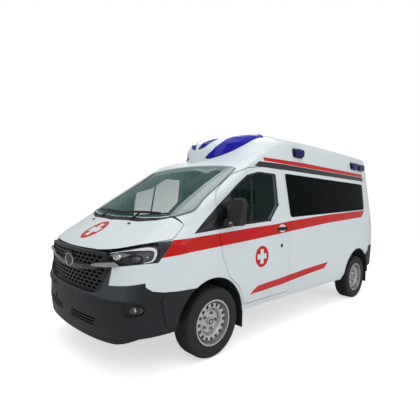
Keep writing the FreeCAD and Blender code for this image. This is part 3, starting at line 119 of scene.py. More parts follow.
class Shader:
    """A new material and short calls that add to its tree."""

    def __init__(self, name):
        self.material = MATERIALS[name] = bpy.data.materials.new(name)
        self.material.use_nodes = True
        self.tree = self.material.node_tree
        self.base = self.tree.nodes["Principled BSDF"]
        self.coords = None

    def add(self, kind, **props):
        node = self.tree.nodes.new("ShaderNode" + kind)
        for key, value in props.items():
            setattr(node, key, value)
        return node

    def put(self, socket, value):
        if isinstance(value, bpy.types.NodeSocket):
            self.tree.links.new(value, socket)
        else:
            socket.default_value = value

    def set(self, **values):
        for key, value in values.items():
            self.put(self.base.inputs[key.replace("_", " ")], value)

    def place(self):
        if self.coords is None:
            self.coords = self.add("TexCoord").outputs["Object"]
        return self.coords

    def axes(self):
        split = self.add("SeparateXYZ")
        self.put(split.inputs[0], self.place())
        return split.outputs[0], split.outputs[1], split.outputs[2]

    def math(self, operation, *values):
        node = self.add("Math", operation=operation)
        for socket, value in zip(node.inputs, values):
            self.put(socket, value)
        return node.outputs[0]

    def above(self, a, b):
        return self.math("GREATER_THAN", a, b)

    def below(self, a, b):
        return self.math("LESS_THAN", a, b)

    def minus(self, a, b):
        return self.math("SUBTRACT", a, b)

    def times(self, a, b, plus=0.0):
        return self.math("MULTIPLY_ADD", a, b, plus)

    def size(self, a):
        return self.math("ABSOLUTE", a)

    def every(self, *masks):
        return reduce(lambda a, b: self.math("MULTIPLY", a, b), masks)

    def either(self, *masks):
        return reduce(lambda a, b: self.math("MAXIMUM", a, b), masks)

    def mix(self, factor, a, b):
        node = self.add("Mix", data_type="RGBA")
        self.put(node.inputs["Factor"], factor)
        for socket, value in ((node.inputs[6], a), (node.inputs[7], b)):
            self.put(socket,
                     tuple(value) + (1.0,) if hasattr(value, "__len__") and len(value) == 3 else value)
        return node.outputs[2]

    def noise(self, scale, detail=3.0, roughness=0.5):
        node = self.add("TexNoise")
        self.put(node.inputs["Vector"], self.place())
        for key, value in (("Scale", scale), ("Detail", detail), ("Roughness", roughness)):
            node.inputs[key].default_value = value
        return node.outputs["Fac"]

    def range(self, value, low, high, to_low=0.0, to_high=1.0):
        node = self.add("MapRange")
        for socket, number in zip(node.inputs, (value, low, high, to_low, to_high)):
            self.put(socket, number)
        return node.outputs[0]

    def waves(self, value, pitch):
        return self.math("SINE", self.times(value, TURN / pitch))

    def graze(self):
        """0 seen square on, rising to 1 at a flat angle."""
        angle = self.add("LayerWeight")
        angle.inputs["Blend"].default_value = 0.5
        return self.math("POWER", angle.outputs["Facing"], 4.0)

    def curve(self, value, points, low, high):
        """A height read off a line of (place, height) points."""
        first, last = points[0][0], points[-1][0]
        node = self.add("FloatCurve")
        line = node.mapping.curves[0]
        scaled = [((p - first) / (last - first), (q - low) / (high - low)) for p, q in points]
        line.points[0].location, line.points[-1].location = scaled[0], scaled[-1]
        for point in scaled[1:-1]:
            line.points.new(*point)
        for point in line.points:
            point.handle_type = "VECTOR"
        node.mapping.update()
        self.put(node.inputs["Value"], self.range(value, first, last))
        return self.times(node.outputs[0], high - low, low)

    def inside(self, a, b, corners):
        """1 inside a convex polygon of (a, b) corners that run clockwise."""
        tests = []
        for (pa, pb), (qa, qb) in zip(corners, corners[1:] + corners[:1]):
            da, db = qa - pa, qb - pb
            tests.append(self.above(self.times(a, db, self.times(b, -da, pb * da - pa * db)), 0.0))
        return self.every(*tests)

    def disc(self, a, b, radius):
        return self.below(self.times(a, a, self.times(b, b)), radius * radius)

    def plus(self, a, b, arm, half):
        """1 inside an upright cross, from distances to its middle."""
        return self.either(self.every(self.below(a, half), self.below(b, arm)),
                           self.every(self.below(b, half), self.below(a, arm)))

    def bump(self, height, strength, distance):
        node = self.add("Bump")
        for key, value in (("Strength", strength), ("Distance", distance), ("Height", height)):
            self.put(node.inputs[key], value)
        self.put(self.base.inputs["Normal"], node.outputs[0])


def grained(name, colour, roughness, scale=900.0, strength=0.12, tone=0.25, **more):
    """Moulded plastic or rubber: fine grain, and patches a little lighter and darker."""
    s = Shader(name)
    wide = s.noise(9.0)
    lighter = tuple(min(1.0, c * (1 + tone) + 0.004) for c in colour)
    s.set(Base_Color=s.mix(wide, toned(colour, 1 - tone), lighter),
          Roughness=s.range(wide, 0.3, 0.7, roughness - 0.06, roughness + 0.06), **more)
    s.bump(s.noise(scale, 2.0), strength, 0.0006)
    return s


MAIN_STRIPE = (0.9, 1.6,
               [(-700, 1.146), (-489, 1.166), (92, 1.208), (537, 1.243), (971, 1.270), (1346, 1.307),
                (2274, 1.374), (3700, 1.448)],
               [(-700, 1.006), (-596, 1.022), (-329, 1.051), (92, 1.081), (535, 1.114), (968, 1.149),
                (1340, 1.182), (2255, 1.258), (3700, 1.342)],
               (-486, 1.172, 0.79), (3481, 1.333, 1.36))
LOW_STRIPE = (0.3, 0.8,
              [(500, 0.595), (668, 0.603), (1120, 0.629), (1605, 0.667), (2400, 0.706)],
              [(500, 0.526), (750, 0.531), (1131, 0.548), (1617, 0.586), (2400, 0.635)],
              (521, 0.530, 2.0), (2176, 0.622, 1.39))
ROOF_STRIPE = [(866, 2.001), (849, 2.042), (1726, 2.062), (3699, 2.062), (3679, 2.010)]
ROOF_BAND = [(672, 1.924), (769, 1.986), (1227, 1.998), (3700, 2.006), (3719, 1.942)]
FLANK, CORNER_FLANK = 0.62, 0.74
MIRROR_CORNER = [(-278, 1.213), (-92, 1.361), (125, 1.525), (236, 1.606), (236, 1.262)]
DOOR_MARK = (717, 0.920)
BONNET_MARK, BONNET_LOW, BONNET_HIGH = -760, 1.08, 1.30
HANDLE_OVAL = (1113, 1.218, 0.074, 0.046)


def livery_paint():
    """White paint with the red stripes, dark roof band, black mirror corner and round marks."""
    p = settings("paint")
    s = Shader("white_livery")
    x, y, z = s.axes()
    side = s.size(x)
    flank = s.above(side, FLANK)
    dust = s.every(s.range(z, 0.75, 0.36), s.noise(6.0, 5.0, 0.65))
    white = s.mix(s.noise(1.7, 2.0), toned(p.white, 0.985), toned(p.white, 1.01))
    white = s.mix(s.times(dust, 0.28), white, (0.50, 0.49, 0.46))

    def stripe(low, high, upper, lower, front, back):
        """Between two lines, read from low to high, with slanted ends of (y, z, slant)."""
        top, foot = (s.curve(y, [(fa(a), b) for a, b in line], low, high) for line in (upper, lower))
        start, end = (s.times(z, slant, fa(a) - b * slant) for a, b, slant in (front, back))
        return s.every(s.below(z, top), s.above(z, foot), s.above(y, start), s.below(y, end))

    def area(corners):
        return s.inside(y, z, [(fa(a), b) for a, b in corners])

    def cross_mark(a, b, radius, arm, half):
        """A disc with an upright cross left white."""
        return s.every(s.disc(a, b, radius), s.minus(1.0, s.plus(a, b, arm, half)))

    oval_y, oval_z, wide, high = HANDLE_OVAL
    oval = s.disc(s.math("DIVIDE", s.minus(y, fa(oval_y)), wide), s.math("DIVIDE", s.minus(z, oval_z), high),
                  1.0)
    main = s.every(stripe(*MAIN_STRIPE), s.minus(1.0, oval))
    stripes = s.every(flank, s.either(main, stripe(*LOW_STRIPE), area(ROOF_STRIPE)))
    r = p.mark_radius
    door_mark = s.every(flank, cross_mark(s.size(s.minus(y, fa(DOOR_MARK[0]))),
                                          s.size(s.minus(z, DOOR_MARK[1])), r, r * 0.68, r * 0.24))
    bonnet_mark = s.every(s.above(z, BONNET_LOW), s.below(z, BONNET_HIGH), cross_mark(
        side, s.size(s.minus(y, fa(BONNET_MARK))), r * 1.15, r * 0.78, r * 0.27))
    colour = s.mix(s.either(stripes, door_mark, bonnet_mark), white, p.red)

    band = s.every(flank, area(ROOF_BAND))
    corner = s.every(s.above(side, CORNER_FLANK), area(MIRROR_CORNER))
    colour = s.mix(s.either(band, corner), colour, s.mix(corner, p.band, (0.006, 0.007, 0.009)))
    s.set(Base_Color=colour, Roughness=s.times(dust, 0.3, 0.26), Specular_IOR_Level=0.22, Coat_Weight=0.15,
          Coat_Roughness=0.06)
    s.bump(s.noise(260.0, 2.0), 0.03, 0.0008)


def bumper_paint():
    """Grained dark plastic, paler on the slope over the crease: a painted highlight, as if lit from above."""
    plastic = settings("paint").plastic
    s = grained("bumper_plastic", plastic, 0.55, Specular_IOR_Level=0.25)
    x, y, z = s.axes()
    # Painted highlight: the slope over the crease is made paler where light from above falls on it.
    slope = s.every(s.range(z, 0.664, 0.684), s.range(s.size(x), 0.90, 0.80), s.below(y, fa(-740)))
    old = s.base.inputs["Base Color"].links[0].from_socket
    s.set(Base_Color=s.mix(slope, old, toned(plastic, 3.6)))


def wheel_paint():
    """Silver wheel paint, with painted shade in the groove between the disc and the rim's lip just outside
    the vents, a darker ring round the hub and patches of brake dust.
    """
    s = Shader("wheel_silver")
    _, y, z = s.axes()
    along_axle = s.minus(s.size(s.minus(y, (FRONT_AXLE + REAR_AXLE) / 2)), (REAR_AXLE - FRONT_AXLE) / 2)
    rise = s.minus(z, WHEEL_RADIUS)
    radius = s.math("SQRT", s.times(along_axle, along_axle, s.times(rise, rise)))
    # Painted shade: a dark ring in the groove between the disc and the rim's lip.
    groove_shade = s.every(s.range(radius, 0.178, 0.184), s.range(radius, 0.200, 0.194))
    hub = s.every(s.range(radius, 0.098, 0.110), s.range(radius, 0.134, 0.124))
    # Darker and rougher where the painted shade lies in the groove, in a ring round the hub, and in patches
    # of brake dust.
    dust = s.either(s.times(groove_shade, 0.85), s.times(hub, 0.45),
                    s.times(s.range(s.noise(30.0, 4.0), 0.5, 0.75), 0.25))
    s.set(Base_Color=s.mix(dust, (0.58, 0.585, 0.58), (0.10, 0.095, 0.085)), Metallic=0.8,
          Roughness=s.times(dust, 0.3, 0.42))
    s.bump(s.noise(60.0, 4.0), 0.05, 0.0006)


def glass(name, tint, clear, ripple=0.012, shine=0.5, ior=1.5):
    """A pane seen through by its own share, and more like a mirror at a flat angle."""
    s = Shader(name)
    s.set(Base_Color=s.mix(s.noise(3.0, 2.0), toned(tint, 0.8), tint), Roughness=0.03, IOR=ior,
          Specular_IOR_Level=shine, Alpha=s.times(s.graze(), clear * 0.8, 1.0 - clear))
    s.bump(s.noise(5.0, 1.0), ripple, 0.01)


def lamp_cover():
    """Clear headlamp cover with its smoked outer end."""
    s = Shader("lamp_cover")
    x, y, _ = s.axes()
    smoked = s.either(s.range(y, fa(-628), fa(-612)), s.range(s.size(x), 0.916, 0.921))
    s.set(Base_Color=s.mix(smoked, (0.02, 0.022, 0.024), (0.040, 0.046, 0.055)), Roughness=0.04, IOR=1.3,
          Specular_IOR_Level=0.3, Alpha=s.either(s.times(s.graze(), 0.7, 0.06), smoked))
    s.bump(s.noise(5.0, 1.0), 0.004, 0.01)


def lens(name, colour, pitch, clear, coat):
    """Moulded lamp lens with fine ribs."""
    s = Shader(name)
    ribs = s.waves(s.axes()[2], pitch)
    s.set(Base_Color=s.mix(s.range(ribs, -1.0, 1.0), toned(colour, 0.72), colour), Roughness=0.08,
          Coat_Weight=coat, Coat_Roughness=0.02, Alpha=1.0 - clear, Specular_IOR_Level=0.5 * coat)
    s.bump(ribs, 0.25, 0.002)


def tail_lamp_lens():
    """Red lens with an amber and a clear part, one above the other."""
    s = Shader("tail_lens")
    z = s.axes()[2]
    amber, clear = (s.every(s.above(z, low), s.below(z, high)) for low, high in ((1.20, 1.29), (1.02, 1.10)))
    colour = s.mix(amber, (0.42, 0.006, 0.008), (0.72, 0.17, 0.01))
    s.set(Base_Color=s.mix(clear, colour, (0.70, 0.71, 0.72)), Roughness=0.08, Coat_Weight=1.0,
          Coat_Roughness=0.02)
    s.bump(s.waves(z, 0.008), 0.2, 0.0015)


def metal(name, colour, roughness, scale=120.0, metallic=1.0, bump=0.05):
    s = Shader(name)
    marks = s.noise(scale, 4.0, 0.6)
    s.set(Base_Color=s.mix(s.noise(14.0), toned(colour, 0.82), colour), Metallic=metallic,
          Roughness=s.range(marks, 0.3, 0.7, roughness * 0.8, roughness * 1.25))
    s.bump(marks, bump, 0.0006)


def woven(name, colour, pitch=0.004):
    """Seat cloth: a plain weave with a slight sheen."""
    s = Shader(name)
    x, y, z = s.axes()
    weave = s.every(s.waves(x, pitch), s.waves(s.math("ADD", y, z), pitch))
    s.set(Base_Color=s.mix(s.range(weave, -1.0, 1.0), toned(colour, 0.7), toned(colour, 1.25)),
          Roughness=0.92, Sheen_Weight=0.3)
    s.bump(weave, 0.3, 0.0008)


def light_guide():
    """White bar that glows a little; the same glow makes the painted glint on the fog lenses."""
    s = Shader("guide_white")
    s.set(Base_Color=s.mix(s.noise(40.0), (0.66, 0.69, 0.72), (0.74, 0.77, 0.80)), Roughness=0.2,
          Emission_Color=(0.9, 0.95, 1.0, 1.0), Emission_Strength=0.10)


def floor_finish(colour):
    """Pale floor that shows white to the camera and keeps the shadow."""
    s = Shader("pale_floor")
    seen = s.add("LightPath").outputs["Is Camera Ray"]
    s.set(Base_Color=s.mix(s.noise(0.8, 2.0), toned(colour, 0.99), colour), Roughness=0.75,
          Specular_IOR_Level=0.1, Emission_Color=(1.0, 1.0, 1.0, 1.0), Emission_Strength=s.times(seen, 0.60))
    return s.material


def build_materials():
    paint, blue = settings("paint"), settings("lamps").blue
    for make in (livery_paint, bumper_paint, wheel_paint, lamp_cover, tail_lamp_lens, light_guide):
        make()
    grained("mirror_plastic", (0.016, 0.017, 0.019), 0.45, strength=0.06, Specular_IOR_Level=0.3)
    grained("trim_black", (0.010, 0.010, 0.012), 0.42, strength=0.06, Specular_IOR_Level=0.3)
    grained("gloss_black", (0.008, 0.008, 0.010), 0.18, strength=0.02, Specular_IOR_Level=0.4)
    grained("grille_black", (0.009, 0.010, 0.011), 0.42, scale=400.0, strength=0.05, Specular_IOR_Level=0.25)
    # Wave bars: a little lighter than the mesh, a painted highlight on the tops of its webs.
    grained("wave_highlight", (0.022, 0.024, 0.026), 0.36, scale=400.0, strength=0.04, Specular_IOR_Level=0.4)
    grained("wing_black", (0.012, 0.013, 0.014), 0.26, scale=300.0, strength=0.02, Specular_IOR_Level=0.5)
    grained("band_dark", paint.band, 0.35, strength=0.04, Specular_IOR_Level=0.3)
    grained("lamp_dark", (0.030, 0.031, 0.034), 0.30, scale=200.0, strength=0.05, Coat_Weight=0.3)
    # Painted reflection: a pale grey-green for the sky mirrored in the windscreen's side edges.
    grained("screen_reflection", (0.24, 0.31, 0.325), 0.14, scale=60.0, strength=0.01, tone=0.12, Coat_Weight=0.4)
    grained("screen_rubber", (0.085, 0.095, 0.10), 0.5, strength=0.04)
    grained("seal_rubber", (0.016, 0.016, 0.017), 0.8, strength=0.1)
    grained("tyre_rubber", settings("tyres").rubber, 0.78, scale=500.0, strength=0.22, tone=0.35)
    grained("cab_plastic", (0.055, 0.06, 0.064), 0.62, strength=0.18)
    grained("cab_light", (0.13, 0.14, 0.145), 0.6, strength=0.1, tone=0.06)
    grained("floor_cover", (0.30, 0.32, 0.33), 0.5, scale=350.0, strength=0.25, tone=0.1)
    grained("under_coat", (0.055, 0.055, 0.058), 0.82, scale=160.0, strength=0.4)
    grained("plate_blank", (0.70, 0.71, 0.70), 0.35, scale=300.0, strength=0.04, tone=0.04)
    glass("window_clear", (0.012, 0.150, 0.140), 0.86)
    glass("window_door", (0.006, 0.030, 0.028), 0.80, shine=0.2, ior=1.35)
    glass("window_dark", (0.003, 0.005, 0.005), 0.03, shine=0.1, ior=1.2)
    lens("blue_lens", blue, 0.012, 0.02, 0.3)
    lens("blue_dark", toned(blue, 0.3), 0.012, 0.02, 0.3)
    lens("pale_lens", (0.46, 0.46, 0.42), 0.007, 0.0, 0.4)
    metal("bolt_steel", (0.22, 0.22, 0.22), 0.45)
    metal("reflector", (0.86, 0.87, 0.88), 0.08, 30.0, 1.0, 0.01)
    metal("satin_silver", (0.62, 0.63, 0.65), 0.28, 200.0, 0.9, 0.02)
    metal("mirror_face", (0.80, 0.82, 0.83), 0.02, 8.0, 1.0, 0.002)
    metal("wheel_cap", (0.50, 0.50, 0.49), 0.4, 60.0, 0.7)
    metal("exhaust_steel", (0.32, 0.30, 0.27), 0.5, 90.0)
    metal("cast_dark", (0.06, 0.06, 0.063), 0.62, 220.0, 0.5, 0.3)
    metal("lamp_eye", (0.10, 0.11, 0.12), 0.08, 20.0, 0.5, 0.01)
    metal("blade_silver", (0.36, 0.37, 0.38), 0.38, 60.0, 0.6, 0.01)
    metal("fan_grey", (0.34, 0.35, 0.36), 0.30, 60.0, 0.8, 0.01)
    woven("seat_cloth", (0.060, 0.062, 0.068))


NODE_FINISH = {
    "white_livery": ["body_side_left", "body_side_right", "sliding_side_door", "roof_cap", "bonnet",
                     "front_fenders", "nose_panels", "front_door_left", "front_door_right", "rear_door_left",
                     "rear_door_right", "beacon_housing"],
    "window_clear": ["windscreen"],
    "window_door": ["front_door_glass_left", "front_door_glass_right"],
    "window_dark": ["side_glass", "rear_door_glass_left", "rear_door_glass_right"],
    "bumper_plastic": ["front_bumper", "rear_bumper", "wheel_housings", "mud_flaps", "cowl_panel"],
    "mirror_plastic": ["mirror_left", "mirror_right"],
    "trim_black": ["wipers"],
    "grille_black": ["grille"],
    "lamp_cover": ["headlamps"],
    "lamp_dark": ["fog_lamps"],
    "tail_lens": ["tail_lamps"],
    "blue_lens": ["beacon_lenses"],
    "blue_dark": ["side_beacons"],
    "seal_rubber": ["door_seals"],
    "floor_cover": ["floor_pan"],
    "cab_light": ["partition"],
    "cab_plastic": ["dashboard", "steering_wheel", "front_seats"],
    "cast_dark": ["engine", "front_suspension", "rear_suspension", "knuckle_left", "knuckle_right"],
    "under_coat": ["fuel_tank"],
    "exhaust_steel": ["exhaust"],
    "tyre_rubber": ["tyre_front_left", "tyre_front_right", "tyre_rear_left", "tyre_rear_right"],
    "wheel_silver": ["rim_front_left", "rim_front_right", "rim_rear_left", "rim_rear_right"],
}


WELD_GAP, SHARP_EDGE = 0.00002, math.radians(28)


def finish_nodes():
    for finish, names in NODE_FINISH.items():
        for node in (NODES[name] for name in names):
            node.data.materials.clear()
            node.data.materials.append(MATERIALS[finish])
            node.modifiers.new("weld", "WELD").merge_threshold = WELD_GAP
            node.modifiers.new("edges", "EDGE_SPLIT").split_angle = SHARP_EDGE
            for face in node.data.polygons:
                face.use_smooth = True


def piece(name, bm, finish, body, angle=32.0):
    """Put a form in the scene with its finish, shaded smooth up to an angle, riding on a body."""
    bmesh.ops.recalc_face_normals(bm, faces=bm.faces[:])
    data = bpy.data.meshes.new(name)
    bm.to_mesh(data)
    bm.free()
    obj = bpy.data.objects.new(name, data)
    bpy.context.scene.collection.objects.link(obj)
    data.materials.append(MATERIALS[finish])
    for face in data.polygons:
        face.use_smooth = True
    data.set_sharp_from_angle(angle=math.radians(angle))
    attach(obj, body)
    return obj


TREES = {}


def skin(names):
    """One search tree over the outside of some nodes."""
    key = tuple(names)
    if key not in TREES:
        points, faces = [], []
        for name in names:
            mesh = NODES[name].data
            start = len(points)
            points += [v.co.copy() for v in mesh.vertices]
            faces += [[start + i for i in f.vertices] for f in mesh.polygons]
        TREES[key] = BVHTree.FromPolygons(points, faces)
    return TREES[key]


LOOKS = {"left": (Vector((-1, 0, 0)), (1, 2)), "right": (Vector((1, 0, 0)), (1, 2)),
         "front": (Vector((0, 1, 0)), (0, 2)), "back": (Vector((0, -1, 0)), (0, 2)),
         "top": (Vector((0, 0, -1)), (0, 1))}


OUTSIDE = 4.0


def moved(point, look, a, b):
    """A point moved to a and b on the two axes across a look."""
    out = Vector(point)
    for axis, value in zip(LOOKS[look][1], (a, b)):
        out[axis] = value
    return out


def touch(names, look, a, b, reach=0.0):
    """Where a line from outside, at a and b across the look, meets the nodes.

    With a reach it is the place nearest to the eye within that reach, so that holes are bridged.
    """
    direction = LOOKS[look][0]
    shifts = (-reach, 0.0, reach) if reach else (0.0,)
    best = None
    for da in shifts:
        for db in shifts:
            hit = skin(names).ray_cast(moved(-direction * OUTSIDE, look, a + da, b + db), direction)[0]
            if hit is not None and (best is None or (hit - best).dot(direction) < 0):
                best = hit
    return None if best is None else moved(best, look, a, b)


def under(names, point, depth):
    """The nearest place on the skin of the nodes, moved in by a depth, and the way out."""
    place, normal, _, _ = skin(names).find_nearest(Vector(point))
    if normal.dot(Vector((1 if point[0] > 0 else -1, -1, 0.4))) < 0:
        normal = -normal
    return place - normal * depth, normal


def smooth_line(points, step=0.01, closed=False):
    """Points of a smooth run through the given ones."""
    n = len(points)
    pts = [Vector(p) for p in points]
    out = []
    count = n if closed else n - 1
    for i in range(count):
        if closed:
            p0, p1, p2, p3 = pts[i - 1], pts[i], pts[(i + 1) % n], pts[(i + 2) % n]
        else:
            p0, p1, p2, p3 = pts[max(i - 1, 0)], pts[i], pts[i + 1], pts[min(i + 2, n - 1)]
        parts = max(2, int((p2 - p1).length / step))
        for k in range(parts):
            t = k / parts
            out.append(0.5 * ((2 * p1) + (p2 - p0) * t + (2 * p0 - 5 * p1 + 4 * p2 - p3) * t * t
                              + (3 * p1 - p0 - 3 * p2 + p3) * t ** 3))
    if not closed:
        out.append(pts[-1])
    return out


def rounded(corners, radii, parts=5):
    """Corners of a flat outline, each cut back to an arc."""
    n = len(corners)
    radii = radii if isinstance(radii, (list, tuple)) else [radii] * n
    out = []
    for i in range(n):
        c = Vector(corners[i])
        a = (Vector(corners[i - 1]) - c)
        b = (Vector(corners[(i + 1) % n]) - c)
        r = radii[i]
        if r <= 0:
            out.append(tuple(c))
            continue
        half = a.angle(b) / 2
        t = min(r / math.tan(half), a.length * 0.48, b.length * 0.48)
        s, e = c + a.normalized() * t, c + b.normalized() * t
        for k in range(parts + 1):
            u = k / parts
            out.append(tuple(s * (1 - u) ** 2 + c * 2 * u * (1 - u) + e * u * u))
    return out


def along(run, closed=False):
    """Each point of a run with the way that the run takes there."""
    n = len(run)
    for i, p in enumerate(run):
        before = run[i - 1] if i or closed else p
        after = run[(i + 1) % n] if i < n - 1 or closed else p
        yield p, (after - before).normalized()


def angles(count):
    return [TURN * k / count for k in range(count)]


def join(bm, rings, closed=False, caps=True):
    """Skin over rings of points, where a ring may be a single point, and close both ends."""
    n = max(len(ring) for ring in rings)
    for a, b in list(zip(rings, rings[1:])) + ([(rings[-1], rings[0])] if closed else []):
        for k in range(n):
            corners = (a[k % len(a)], a[(k + 1) % len(a)], b[(k + 1) % len(b)], b[k % len(b)])
            bm.faces.new(list(dict.fromkeys(corners)))
    for ring in (rings[0], rings[-1]) if caps and not closed else ():
        if len(ring) > 2:
            bm.faces.new(ring)


def thicken(bm, way, thick):
    """Turn a sheet to look along a way and give it a thickness that way."""
    bmesh.ops.recalc_face_normals(bm, faces=bm.faces[:])
    if sum(f.normal.dot(way) for f in bm.faces) < 0:
        bmesh.ops.reverse_faces(bm, faces=bm.faces[:])
    made = bmesh.ops.extrude_face_region(bm, geom=bm.faces[:])
    for v in made["geom"]:
        if isinstance(v, bmesh.types.BMVert):
            v.co += way * thick


def plate(name, outline, look, nodes, finish, body, lift=0.0, thick=0.003, step=0.03, bevel=0.0, reach=0.0):
    """A thin panel with a flat outline, laid on the curved surface of the nodes."""
    bm = bmesh.new()
    bm.faces.new([bm.verts.new((a, b, 0)) for a, b in outline])
    for i, normal in enumerate((Vector((1, 0, 0)), Vector((0, 1, 0)))):
        low, high = min(p[i] for p in outline), max(p[i] for p in outline)
        for k in range(1, int((high - low) / step) + 1):
            bmesh.ops.bisect_plane(bm, geom=bm.verts[:] + bm.edges[:] + bm.faces[:],
                                   plane_co=normal * (low + k * step), plane_no=normal)
    hits = {v: touch(nodes, look, v.co[0], v.co[1], reach) for v in bm.verts}
    known = [v for v in bm.verts if hits[v] is not None]
    if not known:
        raise RuntimeError(name + " misses its surface")
    for v in bm.verts:
        if hits[v] is None:
            hits[v] = moved(hits[min(known, key=lambda k: (k.co - v.co).length)], look, v.co[0], v.co[1])
    out = -LOOKS[look][0]
    for v in bm.verts:
        v.co = hits[v] + out * lift
    thicken(bm, out, thick)
    obj = piece(name, bm, finish, body)
    if bevel:
        mod = obj.modifiers.new("bevel", "BEVEL")
        mod.width, mod.segments, mod.limit_method, mod.angle_limit = bevel, 2, "ANGLE", math.radians(50)


def strip(name, points, look, nodes, finish, body, width=0.01, lift=0.0, thick=0.002, closed=False):
    """A narrow band laid along a line on the surface."""
    bm = bmesh.new()
    rings = []
    for p, way in along(smooth_line([(a, b, 0) for a, b in points], 0.02, closed), closed):
        across = Vector((-way.y, way.x, 0)) * width / 2
        spots = [(touch(nodes, look, q.x, q.y), height) for q, height in
                 ((p - across, 0), (p - across * 0.9, thick), (p + across * 0.9, thick), (p + across, 0))]
        if all(hit is not None for hit, _ in spots):
            rings.append([bm.verts.new(hit - LOOKS[look][0] * (lift + height)) for hit, height in spots])
    join(bm, rings, closed)
    piece(name, bm, finish, body)


def tube(name, points, radius, finish, body, sides=10, closed=False, taper=None, flat=1.0):
    """A round bar along a smooth run of points."""
    run = smooth_line(points, max(radius, 0.006), closed)
    bm = bmesh.new()
    rings = []
    for i, (p, way) in enumerate(along(run, closed)):
        side = way.cross(Vector((0, 0, 1)))
        if side.length < 0.05:
            side = way.cross(Vector((1, 0, 0)))
        side.normalize()
        other = side.cross(way).normalized()
        r = radius * (taper(i / (len(run) - 1)) if taper else 1.0)
        rings.append([bm.verts.new(p + side * r * flat * math.cos(a) + other * r * math.sin(a))
                      for a in angles(sides)])
    join(bm, rings, closed)
    piece(name, bm, finish, body)


def turned(bm, profile, place, sides=24, cap=True):
    """Add a form turned about the X axis of a place to bm, from a profile of (along, radius)."""
    rings = []
    for x, r in profile:
        ring = [(x, r * math.cos(a), r * math.sin(a)) for a in angles(sides)] if r else [(x, 0, 0)]
        rings.append([bm.verts.new(place @ Vector(p)) for p in ring])
    join(bm, rings, caps=cap)


def lathe(name, profile, place, finish, body, sides=24, cap=True):
    """A turned piece; a profile that ends where it starts is welded."""
    bm = bmesh.new()
    turned(bm, profile, place, sides, cap)
    if profile[0] == profile[-1]:
        bmesh.ops.remove_doubles(bm, verts=bm.verts[:], dist=0.00001)
    piece(name, bm, finish, body)


def block(bm, low, high, bevel=0.0, place=None):
    """Add a box with softened edges to bm."""
    made = bmesh.ops.create_cube(bm, size=1.0)
    verts = made["verts"]
    low, high = Vector(low), Vector(high)
    for v in verts:
        v.co = Vector([low[i] + (v.co[i] + 0.5) * (high[i] - low[i]) for i in range(3)])
    if bevel:
        edges = list({e for v in verts for e in v.link_edges})
        done = bmesh.ops.bevel(bm, geom=edges, offset=bevel, segments=2, affect="EDGES", profile=0.6)
        verts = list({v for f in done["faces"] for v in f.verts} | {v for v in verts if v.is_valid})
    if place is not None:
        for v in verts:
            v.co = place @ v.co


def facing(place, x_axis):
    """A matrix that puts the origin at a place and X along an axis."""
    x = Vector(x_axis).normalized()
    up = Vector((0, 0, 1)) if abs(x.z) < 0.9 else Vector((0, 1, 0))
    y = up.cross(x).normalized()
    z = x.cross(y)
    out = Matrix((x, y, z)).transposed().to_4x4()
    out.translation = Vector(place)
    return out


def wheel_place(name):
    x, y = WHEELS[name]
    return Matrix.Translation((x, y, WHEEL_RADIUS)) @ Matrix.Rotation(0.0 if x > 0 else math.pi, 4, "Z")


TOP = WHEEL_RADIUS
TYRE_HALF = [
    (-.0895, .213, "wall"), (-.0895, .2215, "wall"), (-.0950, .2290, "wall"), (-.1000, .2380, "wall"),
    (-.1040, .2500, "wall"), (-.1052, .2512, "wall"), (-.1062, .2600, "wall"), (-.1075, .2710, "wall"),
    (-.1075, .2960, "wall"), (-.1058, .3100, "wall"), (-.1020, .3215, "edge"), (-.0965, .3290, "edge"),
    (-.0885, .3355, "block"), (-.0780, .3395, "block"), (-.0660, .3422, "block"), (-.0535, TOP, "block"),
    (-.0512, TOP, "groove"), (-.0448, TOP, "groove"), (-.0425, TOP, "rib"), (-.0320, TOP, "rib"),
    (-.0215, TOP, "rib"), (-.0192, TOP, "groove"), (-.0128, TOP, "groove"), (-.0105, TOP, "middle"),
    (-.0030, TOP, "middle")]
NOTCHES = {"block": ((0, 1), 0.7), "edge": ((0, 1), 0.3), "rib": ((4,), 0.4), "middle": ((2,), 0.3),
           "groove": (range(8), 1.0), "wall": ((), 0.0)}


def tyre_form(groove, pitches):
    """A road tyre about the X axis: rounded side walls, four grooves and notched shoulders."""
    line = TYRE_HALF + [(-x, r, kind) for x, r, kind in reversed(TYRE_HALF)]
    steps = 8
    count = pitches * steps
    bm = bmesh.new()
    rings = []
    for j, a in enumerate(angles(count)):
        ring = []
        for x, r, kind in line:
            lean = int(round(x * 60)) if kind == "rib" else 0
            phases, share = NOTCHES[kind]
            if (j + lean + (4 if x > 0 else 0)) % steps in phases:
                r -= groove * share
            ring.append(bm.verts.new((x, r * math.cos(a), r * math.sin(a))))
        rings.append(ring)
    join(bm, rings, closed=True)
    return bm


def build_tyres():
    tyres = settings("tyres")
    for name in WHEELS:
        bm = tyre_form(tyres.groove, tyres.pitches)
        bm.transform(wheel_place(name))
        obj = piece("tread_" + name, bm, "tyre_rubber", "wheel_" + name)
        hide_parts("tyre_" + name)


NUTS, NUT_RING = 5, 0.080
VENTS, VENT_RING = 16, 0.163
WHEEL_RINGS = (
    ("cap_", "trim_black", [(.0597, .0290), (.0612, .0278), (.0616, .0235), (.0606, .0228), (.0604, .0180)]),
    ("cap_disc_", "wheel_cap", [(.0600, .0182), (.0618, .0172), (.0628, .0100), (.0630, 0)]),
    ("vent_shade_", "seal_rubber", [(.0560, .1780), (.0580, .1780), (.0580, .1420), (.0560, .1420),
                                    (.0560, .1780)]))


def round_axis(place, count, radius):
    """Places at even angles round the X axis of a place, each with its angle."""
    for a in angles(count):
        yield place @ Matrix.Translation((0, radius * math.cos(a), radius * math.sin(a))), a


